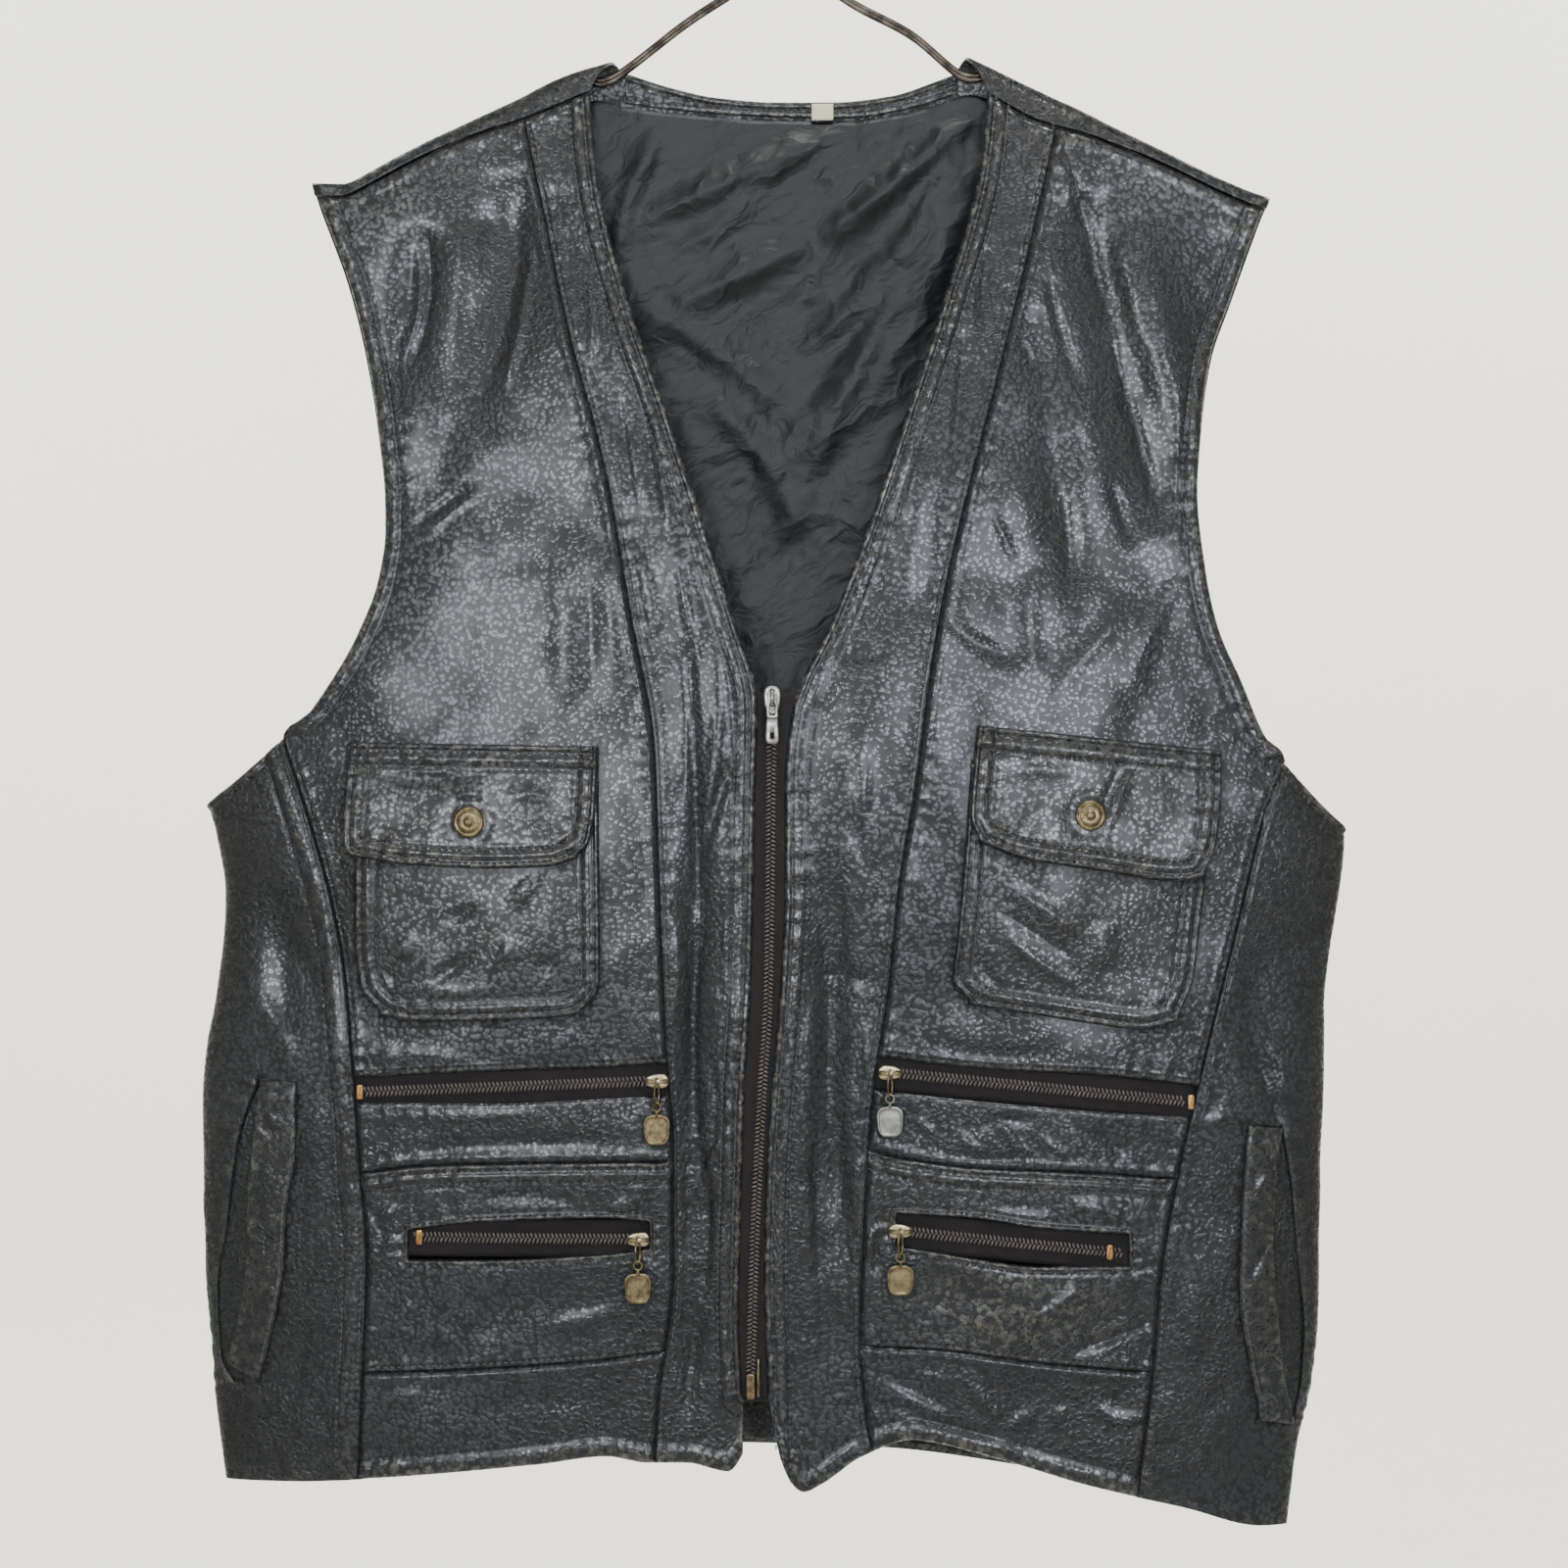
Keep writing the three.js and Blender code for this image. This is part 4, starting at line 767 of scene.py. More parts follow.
def bonded_thread():
    """Bonded nylon thread, black and lightly waxed: a small satin shine with its twist."""
    material, tree, where = new_material("bonded_nylon_thread_waxed")
    ply = put(tree, "TexWave", {"Vector": where, "Scale": 900.0, "Distortion": 1.0}).outputs["Fac"]
    cloud = put(tree, "TexNoise", {"Vector": where, "Scale": 150.0})
    show(tree, {
        "Base Color": mix_colours(tree, cloud, "#2b2e32", "#4c4f52"), "Roughness": 0.42, "IOR": 1.53,
        "Sheen Weight": 0.2,
        "Normal": put(tree, "Bump", {"Height": ply, "Distance": 0.00008, "Strength": 0.5}),
    })
    return material


THREAD = bonded_thread()
THREAD_RADIUS = 0.4
THREAD_ARCH = 0.16


def sew(name, skin, lines, side=None):
    """Rows of stitches on a panel's outer face, along lines of (x, z) points."""
    starts, ends, outs = [], [], []
    for line in lines:
        holes = stepped(line, STITCH)
        where = None if side is None else np.full(len(holes), side)
        point, out = skin(holes[:, 0], holes[:, 1], where)
        starts.append(point[:-1] * 0.9 + point[1:] * 0.1)
        ends.append(point[:-1] * 0.1 + point[1:] * 0.9)
        outs.append(out[:-1])
    strokes = capsules(np.vstack(starts), np.vstack(ends), np.vstack(outs), THREAD_RADIUS, THREAD_ARCH)
    made = piece(name, *strokes, THREAD)
    return made


def leather_piece(made, node):
    """Hides the solid that a leather panel stands for."""
    stands_for(made, node)


back_hem = by_width(BACK_HEM)
back_neck = by_width(BACK_NECK)
back_right = by_height(ARMHOLE_R, GAP)
back_left = by_height(ARMHOLE_L, -GAP)
BACK_ROW = 9.5


def back_columns():
    xs = np.concatenate([np.arange(-228, -108, 4.0), np.arange(-106, -74, 1.6), np.arange(-72, 76, 4.0),
                         np.arange(78, 110, 1.6), np.arange(112, 234, 4.0), [233.0]])
    return (xs - xs[0]) / (xs[-1] - xs[0])


def shoulder_worn(x, z):
    """Shoulders rub under straps and straps of bags, and the hem rubs on seats."""
    return 0.75 * np.exp(-((np.maximum(ridge(x) - z, 0) / 14) ** 2)) + 0.3 * np.exp(-(((z + 800) / 20) ** 2))


back_rows = np.concatenate([np.linspace(0, ROUND_FROM, 150), np.linspace(ROUND_FROM, 1, 46)[1:]])
back_edges = {
    "side": [
        (edge_line(back_right, -800, -183), "turned", ()),
        (edge_line(back_left, -818, -188), "turned", ()),
    ],
    "end": [(edge_line(back_hem, -240, 214, False), "turned", (BACK_ROW,))],
}
BACK_CREASES = [
    (-150, -230, -120, -330, -60, -400, 14, -1.6), (140, -220, 120, -330, 70, -420, 14, -1.6),
    (-40, -300, 0, -360, 60, -390, 18, 1.5), (-170, -500, -150, -560, -160, -640, 10, -1.5),
    (160, -520, 150, -600, 170, -700, 10, -1.4), (-60, -520, -40, -620, -70, -720, 12, 1.4),
    (40, -560, 60, -640, 40, -730, 12, -1.3), (-20, -640, 0, -700, 30, -760, 9, 1.1),
]
back, back_skin = sewn_panel(
    "back_panel", over_shoulders(back_right, back_left, back_hem), back_columns(), back_rows, BODY_LAYER,
    back_edges, BACK_CREASES, worn=shoulder_worn,
)
leather_piece(back, "back")
sew("back_hem_stitches", back_skin, [stitch_line(back_hem, BACK_ROW, (0, 1), -225, 205, upright=False)], BACK)

# The front bands: one long panel each side from the shoulder seam to the hem, its inner edge turned round
# a facing and stitched twice, first along the V of the neck and then along the zip. The princess seam
# joins it outside.

OPENING_R = {
    "z": [-134, -178, -235, -293, -357, -395, -423, -432, -470, -564, -611, -681, -724, -764],
    "x": [-95, -91, -77, -57, -36, -24, -15, -14, -15, -17, -20, -22, -23, -21],
}
OPENING_L = {
    "z": [-134, -173, -199, -232, -293, -357, -395, -423, -432, -470, -517, -564, -611, -658, -705, -766],
    "x": [97, 93, 87, 77, 57, 35, 20, 6, 3, -1, -1, -3, -7, -10, -11, -9],
}
PRINCESS_R = {
    "z": [-149, -183, -249, -317, -395, -451, -526, -592, -648, -705, -771, -795],
    "x": [-127, -120, -106, -88, -74, -64, -61, -58, -54, -54, -62, -63],
}
PRINCESS_L = {
    "z": [-153, -211, -272, -329, -376, -423, -470, -517, -573, -611, -677, -735, -765, -790],
    "x": [130, 117, 102, 87, 76, 68, 62, 54, 48, 42, 37, 35, 37, 41],
}
HEM = {
    "x": [-278, -236, -199, -119, -86, -67, -48, -28, -18, -9, -4, 3, 8, 17, 36, 60,
          74, 97, 144, 190, 229, 250],
    "z": [-804, -804, -802, -795, -791, -794, -794, -798, -784, -766, -789, -805, -808, -804, -791, -783,
          -785, -791, -805, -816, -826, -826],
}
INSET = -0.05
EDGE_ROWS = (3.8, 10.3)
SEAM_ROWS = (2.2,)
HEM_ROWS = (9.5,)
CELL = 2.1
hem = by_width(HEM)


def yoke_seam(x):
    return ridge(x) - yoke_drop(x) - 3 * GAP


BAND_CREASES = {
    "r": [
        (-95, -230, -93, -249, -94, -272, 1.9, 1), (-90, -235, -87, -254, -85, -272, 1.4, -0.8),
        (-81, -282, -77, -310, -73, -338, 1.2, -1), (-70, -291, -65, -315, -63, -338, 1.6, -0.9),
        (-63, -301, -60, -319, -56, -348, 1.9, 1), (-72, -357, -67, -376, -63, -399, 2.3, 0.9),
        (-53, -357, -48, -385, -43, -413, 2.3, 1), (-46, -395, -46, -423, -43, -451, 1.9, -1.2),
        (-31, -395, -29, -423, -27, -451, 1.9, -0.8), (-45, -432, -43, -489, -42, -536, 2.3, -2.4),
        (-42, -536, -45, -592, -43, -639, 2.3, -2.4), (-43, -639, -38, -677, -41, -719, 2.8, -2.2),
        (-41, -719, -46, -752, -48, -775, 3.3, -1.5), (-26, -458, -32, -474, -39, -500, 2.3, -2),
        (-33, -432, -35, -460, -38, -484, 2.3, 1.3), (-53, -531, -52, -557, -54, -583, 2.3, 1.4),
        (-38, -599, -34, -620, -37, -648, 1.9, -1.4), (-27, -634, -38, -653, -41, -672, 1.9, 1.3),
        (-32, -648, -29, -677, -30, -719, 2.3, -1), (-27, -498, -29, -545, -27, -592, 1.9, 0.8),
    ],
    "l": [
        (64, -310, 60, -348, 57, -385, 7.5, 1.2), (97, -207, 94, -235, 92, -258, 2.3, -1.2),
        (86, -249, 82, -291, 77, -329, 2.3, -1.2), (24, -404, 36, -410, 48, -404, 1.9, -1),
        (25, -512, 25, -545, 23, -564, 1.4, -1.2), (40, -507, 42, -531, 41, -559, 1.4, -0.8),
        (28, -477, 36, -503, 39, -512, 1.4, -0.8), (15, -562, 29, -561, 42, -568, 1.6, -1.3),
        (21, -559, 20, -611, 21, -681, 3.8, -2), (26, -625, 25, -653, 28, -688, 1.9, -1.8),
        (16, -592, 14, -648, 16, -705, 2.8, -1.5), (31, -592, 30, -625, 32, -662, 2.3, 1),
        (39, -583, 38, -604, 38, -625, 1.9, 0.9), (22, -691, 23, -705, 22, -719, 3.8, 1),
        (15, -634, 16, -695, 20, -752, 2.8, -1.2), (34, -728, 33, -752, 36, -771, 1.9, -0.8),
        (31, -451, 36, -470, 32, -493, 3.8, 1),
    ],
}
SIDES = {
    "r": {"sign": -1, "opening": OPENING_R, "princess": PRINCESS_R, "edge_end": -762, "seam_end": -793,
          "band_foot": (-70, -21), "band_row": (-58, -34), "band_top": (-128, -94),
          "chest_top": (-226, -128)},
    "l": {"sign": 1, "opening": OPENING_L, "princess": PRINCESS_L, "edge_end": -800, "seam_end": -788,
          "band_foot": (-3, 46), "band_row": (14, 38), "band_top": (95, 131), "chest_top": (131, 231)},
}


def level(value):
    """The same value everywhere."""
    return lambda at, *_: value + 0 * at


def ordered(sign, inner, outer):
    """Turns inner and outer edges into left and right."""
    return (outer, inner) if sign < 0 else (inner, outer)


def edge_worn(opening, ends):
    """The neck's edge is rubbed along its whole length, and the hem where it is handled."""

    def worn(x, z):
        edge = 0.6 * np.exp(-((np.abs(x - opening(z)) / 4.5) ** 2))
        shoulder = 0.7 * np.exp(-((np.maximum(ridge(x) - z - 10, 0) / 30) ** 2))
        return edge + shoulder + 0.35 * np.exp(-(((z - ends) / 10) ** 2))

    return worn


for key, part in SIDES.items():
    sign = part["sign"]
    opening = by_height(part["opening"])
    seam = by_height(part["princess"], -sign * INSET)
    layout = between(*ordered(sign, opening, seam), hem, yoke_seam)
    edges = {
        "side": [
            (edge_line(opening, part["edge_end"], -133), "turned", EDGE_ROWS),
            (edge_line(seam, part["seam_end"], -151), "seam", SEAM_ROWS),
        ],
        "end": [
            (edge_line(hem, *part["band_foot"], False), "turned", HEM_ROWS),
            (edge_line(yoke_seam, *part["band_top"], False), "seam", ()),
        ],
    }
    panel, skin = sewn_panel(
        f"front_band_leather_{key}", layout, cuts(42, 1.7), cuts(655, CELL), BODY_LAYER, edges,
        BAND_CREASES[key], worn=edge_worn(opening, -795),
    )
    leather_piece(panel, f"front_band_{key}")
    lines = [
        stitch_line(opening, EDGE_ROWS[0], (sign, 0), part["edge_end"] + 12, -137),
        stitch_line(opening, EDGE_ROWS[1], (sign, 0), part["edge_end"] + 14, -139),
        stitch_line(seam, SEAM_ROWS[0], (-sign, 0), part["seam_end"] + 8, -155),
        stitch_line(hem, HEM_ROWS[0], (0, 1), *part["band_row"], upright=False),
    ]
    sew(f"front_band_stitches_{key}", skin, lines)

# The chest panels: from the princess seam to the armhole, down to the lip of the upper zip. The armhole
# is turned and stitched once, and the lip is turned over the zip's tape.

SIDE_SEAM_R = {
    "z": [-448, -493, -526, -559, -611, -658, -695, -775, -803],
    "x": [-242, -227, -218, -212, -207, -204, -201, -204, -205],
}
SIDE_SEAM_L = {
    "z": [-460, -484, -540, -596, -648, -705, -752, -811], "x": [239, 229, 215, 201, 189, 179, 175, 167],
}
ZIP_TOP_R = {"x": [-207, -143, -88, -53], "z": [-610, -607, -605, -603]}
ZIP_TOP_L = {"x": [45, 75, 114, 153, 195], "z": [-600, -604, -607, -609, -614]}
ZIP_BOTTOM_R = {"x": [-205, -143, -96, -53], "z": [-622, -622, -620, -618]}
ZIP_BOTTOM_L = {"x": [45, 83, 114, 161, 195], "z": [-616, -620, -623, -627, -629]}
ARMHOLE_ROWS = (7.6,)
LIP_ROWS = (2.6,)
ARMHOLE_INSET = 2.0
ARMHOLE_BLEND = 12
CORNER_ROW = 0.375
CHEST_CREASES = {
    "r": [
        (-129, -195, -135, -249, -153, -301, 3.3, -1.2), (-123, -211, -127, -244, -136, -282, 1.9, 1.4),
        (-151, -325, -164, -336, -182, -348, 1.4, -1.2), (-147, -329, -161, -340, -178, -353, 1.9, 0.8),
        (-173, -203, -172, -240, -182, -271, 1.9, -1.6), (-178, -207, -177, -240, -186, -268, 2.3, 1),
        (-186, -249, -187, -272, -184, -296, 1.4, -0.8), (-95, -366, -94, -395, -93, -428, 3.2, -0.6),
        (-86, -360, -84, -390, -82, -428, 3.2, 0.5), (-110, -366, -107, -395, -106, -433, 5.5, 0.6),
        (-206, -601, -180, -599, -152, -602, 3.3, 0.6), (-152, -599, -114, -604, -77, -597, 3.8, -0.7),
    ],
    "l": [
        (142, -185, 148, -221, 157, -256, 2.8, -1.6), (157, -256, 165, -291, 182, -348, 2.8, -1.4),
        (154, -188, 163, -225, 172, -263, 4.2, 1.2), (126, -225, 133, -258, 144, -286, 2.8, -1.5),
        (133, -164, 139, -183, 141, -207, 1.9, -1), (110, -254, 116, -265, 121, -275, 1.1, -0.7),
        (97, -338, 104, -352, 109, -364, 1.4, -0.8), (133, -324, 136, -357, 134, -400, 4.0, -0.9),
        (154, -324, 161, -341, 165, -357, 2.3, -1.2), (76, -388, 90, -402, 112, -411, 3.4, -0.9),
        (162, -388, 142, -409, 126, -430, 4.0, 0.7), (190, -368, 175, -395, 165, -428, 4.0, 0.7),
        (121, -366, 116, -395, 122, -423, 4.6, 0.6), (194, -272, 191, -305, 192, -348, 2.3, -0.8),
        (64, -592, 97, -599, 130, -597, 3.8, -0.8),
    ],
}
SIDES["r"].update(seam=SIDE_SEAM_R, armhole=ARMHOLE_R, zip_top=ZIP_TOP_R, zip_bottom=ZIP_BOTTOM_R,
                  corner=-448, armhole_top=-189, lip=(-207, -57))
SIDES["l"].update(seam=SIDE_SEAM_L, armhole=ARMHOLE_L, zip_top=ZIP_TOP_L, zip_bottom=ZIP_BOTTOM_L,
                  corner=-460, armhole_top=-194, lip=(44, 196))


def panel_edges(part):
    """The inner and outer edges that all panels outside the princess seam share."""
    sign = part["sign"]
    inner = by_height(part["princess"], sign * INSET)
    armhole = by_height(part["armhole"], -sign * ARMHOLE_INSET)
    seam = by_height(part["seam"], sign * 0.05)

    def outer(z):
        share = np.clip((z - part["corner"]) / ARMHOLE_BLEND, 0, 1)
        return seam(z) + (armhole(z) - seam(z)) * share

    return inner, outer


# The edges of the patch pockets and of their flaps, which lie on the chest
POCKET_R = {
    "left": {"z": [-470, -545, -568, -578], "x": [-206, -206, -203, -194]},
    "right": {"z": [-470, -563, -572, -578], "x": [-90, -89, -92, -99]},
    "bottom": {"x": [-194, -174, -112, -99], "z": [-580, -583, -581, -579]},
    "top": {"x": [-206, -90], "z": [-466, -468]},
}
POCKET_L = {
    "left": {"z": [-460, -524, -552, -563, -573], "x": [88, 83, 80, 79, 87]},
    "right": {"z": [-470, -513, -540, -563, -580], "x": [203, 200, 197, 194, 187]},
    "bottom": {"x": [87, 114, 145, 169, 187], "z": [-575, -579, -584, -587, -583]},
    "top": {"x": [88, 204], "z": [-458, -470]},
}
FLAP_R = {
    "left": {"z": [-450, -470, -489, -499, -504], "x": [-208, -210, -211, -211, -207]},
    "right": {"z": [-450, -479, -498, -504], "x": [-90, -91, -94, -100]},
    "bottom": {"x": [-207, -180, -142, -114, -100], "z": [-504, -508, -510, -509, -505]},
    "top": {"x": [-208, -90], "z": [-450, -452]},
}
FLAP_L = {
    "left": {"z": [-442, -460, -486, -496], "x": [91, 89, 87, 91]},
    "right": {"z": [-454, -470, -498, -513], "x": [207, 207, 204, 198]},
    "bottom": {"x": [91, 111, 149, 187, 198], "z": [-497, -505, -511, -516, -514]},
    "top": {"x": [91, 207], "z": [-442, -454]},
}


def patch_layout(shape):
    return between(by_height(shape["left"]), by_height(shape["right"]), by_width(shape["bottom"]),
                   by_width(shape["top"]))


def outline(layout, ends, count=40):
    """The sides and the foot of a patch, as one line of (x, z) points, from its top left to its top right."""
    t = np.linspace(0, 1, count)
    runs = [(0 * t, ends - ends * t), (t, 0 * t), (0 * t + 1, ends * t)]
    lines = []
    for s, r in runs:
        x, z, _ = layout(s, r)
        lines.append(np.column_stack([x, z]))
    return lines


def lying_on_chest(pocket, flap):
    """The edges round which the chest panel is painted darker as their shadow, and how far."""
    return [(line, 1.9) for line in outline(patch_layout(pocket), 0.96)] + [
        (line, 2.4) for line in outline(patch_layout(flap), 1.0)
    ]


def chest_worn(x, z):
    return 0.6 * np.exp(-((np.maximum(ridge(x) - z - 8, 0) / 26) ** 2))


chest_skins = {}
chest_rows = np.concatenate([np.linspace(0, CORNER_ROW, 84)[:-1], np.linspace(CORNER_ROW, 1, 132)])
chests = {}
for key, part in SIDES.items():
    sign = part["sign"]
    inner, outer = panel_edges(part)
    lip = by_width(part["zip_top"])
    edges = {
        "side": [
            (edge_line(inner, -600, -152), "seam", ()),
            (edge_line(outer, part["corner"] + 8, part["armhole_top"]), "turned", ARMHOLE_ROWS),
            (edge_line(outer, -608, part["corner"]), "seam", SEAM_ROWS),
        ],
        "end": [
            (edge_line(lip, *part["lip"], False), "turned", LIP_ROWS),
            (edge_line(yoke_seam, *part["chest_top"], False), "seam", ()),
        ],
    }
    # The chest panel is painted darker round its pocket and flap, as their shadow
    panel, skin = sewn_panel(
        f"chest_leather_{key}", between(*ordered(sign, inner, outer), lip, yoke_seam), cuts(150, CELL),
        chest_rows,
        BODY_LAYER, edges, CHEST_CREASES[key], worn=chest_worn,
        under=lying_on_chest(*((POCKET_R, FLAP_R) if sign < 0 else (POCKET_L, FLAP_L))),
    )
    leather_piece(panel, f"chest_panel_{key}")
    lines = [
        stitch_line(outer, ARMHOLE_ROWS[0], (-sign, 0), part["corner"] + 10, part["armhole_top"] - 2),
        stitch_line(lip, LIP_ROWS[0], (0, 1), part["lip"][0] + 2, part["lip"][1] - 2, upright=False),
    ]
    sew(f"chest_stitches_{key}", skin, lines)
    chests[key], chest_skins[key] = panel, skin

# The zip strips: a narrow band between the upper zip and the pouch below it, turned at the zip.

POUCH_TOP_R = {"x": [-204, -171, -132, -56], "z": [-656, -652, -651, -650]}
POUCH_TOP_L = {"x": [39, 58, 89, 151, 186], "z": [-644, -649, -653, -656, -659]}
STRIP_CREASES = {
    "r": [(-204, -630, -166, -629, -114, -627, 2.8, 0.6), (-189, -646, -133, -641, -67, -641, 3.8, -1)],
    "l": [
        (60, -630, 67, -634, 71, -641, 1.4, 0.9), (81, -634, 86, -641, 93, -646, 1.4, 0.9),
        (100, -630, 109, -641, 116, -651, 1.9, 1), (121, -637, 128, -644, 135, -648, 1.6, 1),
        (144, -634, 154, -641, 163, -648, 2.3, -1.4), (69, -645, 93, -649, 121, -648, 2.3, -1.2),
        (93, -633, 107, -630, 121, -632, 1.9, -0.8),
    ],
}
SIDES["r"].update(pouch_top=POUCH_TOP_R, strip=(-203, -58))
SIDES["l"].update(pouch_top=POUCH_TOP_L, strip=(42, 188))
STRIP_ROW = 2.4
for key, part in SIDES.items():
    inner, outer = panel_edges(part)
    lip = by_width(part["zip_bottom"])
    foot = by_width(part["pouch_top"], INSET)
    edges = {
        "side": [(edge_line(edge, -656, -618, count=8), "seam", ()) for edge in (inner, outer)],
        "end": [
            (edge_line(lip, *part["lip"], False), "turned", ()),
            (edge_line(foot, *part["strip"], False), "seam", ()),
        ],
    }
    panel, skin = sewn_panel(
        f"zip_strip_leather_{key}", between(*ordered(part["sign"], inner, outer), foot, lip), cuts(148, 1.7),
        cuts(32, 1.4), BODY_LAYER, edges, STRIP_CREASES[key],
    )
    leather_piece(panel, f"zip_strip_{key}")
    start, end = part["lip"]
    row = stitch_line(lip, STRIP_ROW, (0, -1), start + 3, end - 3, upright=False)
    sew(f"zip_strip_stitches_{key}", skin, [row])

# The pouches: the lower pocket's outer panel, its top turned and stitched twice over the strip, with a
# window cut for the lower zip whose edges are turned in all round.

POUCH_BOTTOM_R = {"x": [-202, -171, -132, -93, -62], "z": [-751, -750, -748, -745, -741]}
POUCH_BOTTOM_L = {"x": [36, 74, 120, 173], "z": [-738, -740, -746, -751]}
POUCH_ROWS = (3.0, 9.0)
WINDOW = {
    "r": {"left": -180.5, "right": -66, "low": {"x": [-180, -148, -86, -66], "z": [-697, -697, -694, -691]},
          "high": {"x": [-180, -148, -86, -66], "z": [-683, -679, -677, -679]}},
    "l": {"left": 52.5, "right": 163, "low": {"x": [53, 89, 120, 163], "z": [-690, -696, -700, -700]},
          "high": {"x": [53, 89, 120, 163], "z": [-675, -677, -682, -685]}},
}
POUCH_CREASES = {
    "r": [
        (-192, -672, -191, -674, -190, -677, 3.8, 1.2), (-188, -685, -194, -696, -200, -706, 2.3, 1.2),
        (-203, -668, -197, -677, -193, -687, 1.4, -1), (-179, -717, -187, -726, -198, -733, 2.3, 1.2),
        (-133, -709, -140, -726, -152, -733, 6.6, -1.5), (-77, -719, -100, -726, -124, -731, 3.8, 0.8),
        (-79, -667, -78, -670, -77, -673, 4.7, 1), (-171, -724, -166, -733, -156, -739, 3.3, 0.8),
        (-152, -668, -124, -666, -95, -669, 3.3, -0.6),
    ],
    "l": [
        (140, -710, 128, -719, 116, -727, 2.3, 1.3), (173, -727, 154, -735, 135, -741, 2.3, -1.5),
        (157, -700, 165, -693, 173, -687, 1.9, 1), (163, -705, 170, -701, 177, -700, 1.4, -0.8),
        (46, -679, 40, -687, 38, -698, 1.9, 1), (44, -687, 42, -695, 44, -704, 1.4, -1),
        (135, -671, 149, -673, 163, -677, 3.3, 1), (97, -670, 116, -672, 130, -671, 2.3, -0.7),
        (60, -705, 83, -714, 111, -719, 5.6, -0.8),
    ],
}
SIDES["r"].update(pouch_bottom=POUCH_BOTTOM_R, pouch_ends=(-201, -58))
SIDES["l"].update(pouch_bottom=POUCH_BOTTOM_L, pouch_ends=(38, 180))
HOLE_S = (0.18, 0.86)
HOLE_R = (0.42, 0.66)


def around(left, right, bottom, top, hole, hole_s, hole_r, side=FRONT):
    """Lays a piece with a hole: the hole's edges lie on fixed shares of the piece's lines."""
    low, high = by_width(hole["low"]), by_width(hole["high"])

    def layout(s, r):
        x, z = 0 * s + (hole["left"] + hole["right"]) / 2, 0 * s + float(low(hole["left"]))
        for _ in range(2 * SETTLE):
            marks = [left(z), hole["left"] + 0 * z, hole["right"] + 0 * z, right(z)]
            x = stretched(s, (0.0, *hole_s, 1.0), marks)
            marks = [bottom(x), low(x), high(x), top(x)]
            z = stretched(r, (0.0, *hole_r, 1.0), marks)
        return x, z, np.full(np.shape(x), side)

    return layout


def stretched(share, knots, marks):
    """Straight runs between marks, which are reached at the knots."""
    place = marks[0]
    for (a, b), (low, high) in zip(zip(knots[:-1], knots[1:]), zip(marks[:-1], marks[1:])):
        place = np.where(share >= a, low + (high - low) * (share - a) / (b - a), place)
    return place


def cuts_round(lengths, knots, cell):
    """Cuts for a piece with a hole, close together on both sides of each of the hole's edges."""
    runs = []
    for length, a, b in zip(lengths, knots[:-1], knots[1:]):
        runs.append(a + (b - a) * cuts(length, cell))
    return np.unique(np.round(np.concatenate(runs), 9))


def window_lines(window):
    """The window's four edges."""
    low, high = by_width(window["low"]), by_width(window["high"])
    left, right = window["left"], window["right"]
    corners = [(x, z) for x in (left, right) for z in (float(low(x)), float(high(x)))]
    return [
        edge_line(low, left, right, False), edge_line(high, left, right, False), np.array(corners[:2]),
        np.array(corners[2:]),
    ]


def pouch_worn(x, z):
    """The wearer's left pouch is rubbed brown below its zip."""
    patch = np.exp(-(((x - 112) / 48) ** 2 + ((z + 718) / 18) ** 2) ** 1.5)
    return 0.95 * patch + 0.2 * np.exp(-(((x - 90) / 50) ** 2))


for key, part in SIDES.items():
    sign = part["sign"]
    inner, outer = panel_edges(part)
    top = by_width(part["pouch_top"], -INSET)
    foot = by_width(part["pouch_bottom"], INSET)
    window = WINDOW[key]
    edges = {
        "side": [(edge_line(edge, -750, -650, count=16), "seam", ()) for edge in (inner, outer)]
        + [(line, "turned", LIP_ROWS) for line in window_lines(window)],
        "end": [
            (edge_line(top, *part["pouch_ends"], False), "turned", POUCH_ROWS),
            (edge_line(foot, *part["pouch_ends"], False), "seam", SEAM_ROWS),
        ],
    }
    layout = around(*ordered(sign, inner, outer), foot, top, window, HOLE_S, HOLE_R)
    across = cuts_round((26, 113, 22), (0.0, *HOLE_S, 1.0), 1.8)
    upward = cuts_round((52, 17, 28), (0.0, *HOLE_R, 1.0), 1.5)
    panel, skin = sewn_panel(
        f"pouch_leather_{key}", layout, across, upward, BODY_LAYER, edges, POUCH_CREASES[key],
        hole=(*HOLE_S, *HOLE_R), worn=pouch_worn if key == "l" else None,
    )
    leather_piece(panel, f"pouch_{key}")
    low, high = by_width(window["low"]), by_width(window["high"])
    start, end = part["pouch_ends"]
    lines = [stitch_line(top, row, (0, -1), start + 3, end - 3, upright=False) for row in POUCH_ROWS]
    row = LIP_ROWS[0]
    west, east = window["left"] - row, window["right"] + row
    lines.append(stitch_line(foot, SEAM_ROWS[0], (0, 1), start + 4, end - 4, upright=False))
    lines.append(stitch_line(low, row, (0, -1), west, east, upright=False))
    lines.append(stitch_line(high, row, (0, 1), west, east, upright=False))
    lines += [np.array([(x, float(low(x)) - row), (x, float(high(x)) + row)])
              for x in (west, east)]
    sew(f"pouch_stitches_{key}", skin, lines)

# The hem panels: below the pouches, with the hem turned up and stitched once.

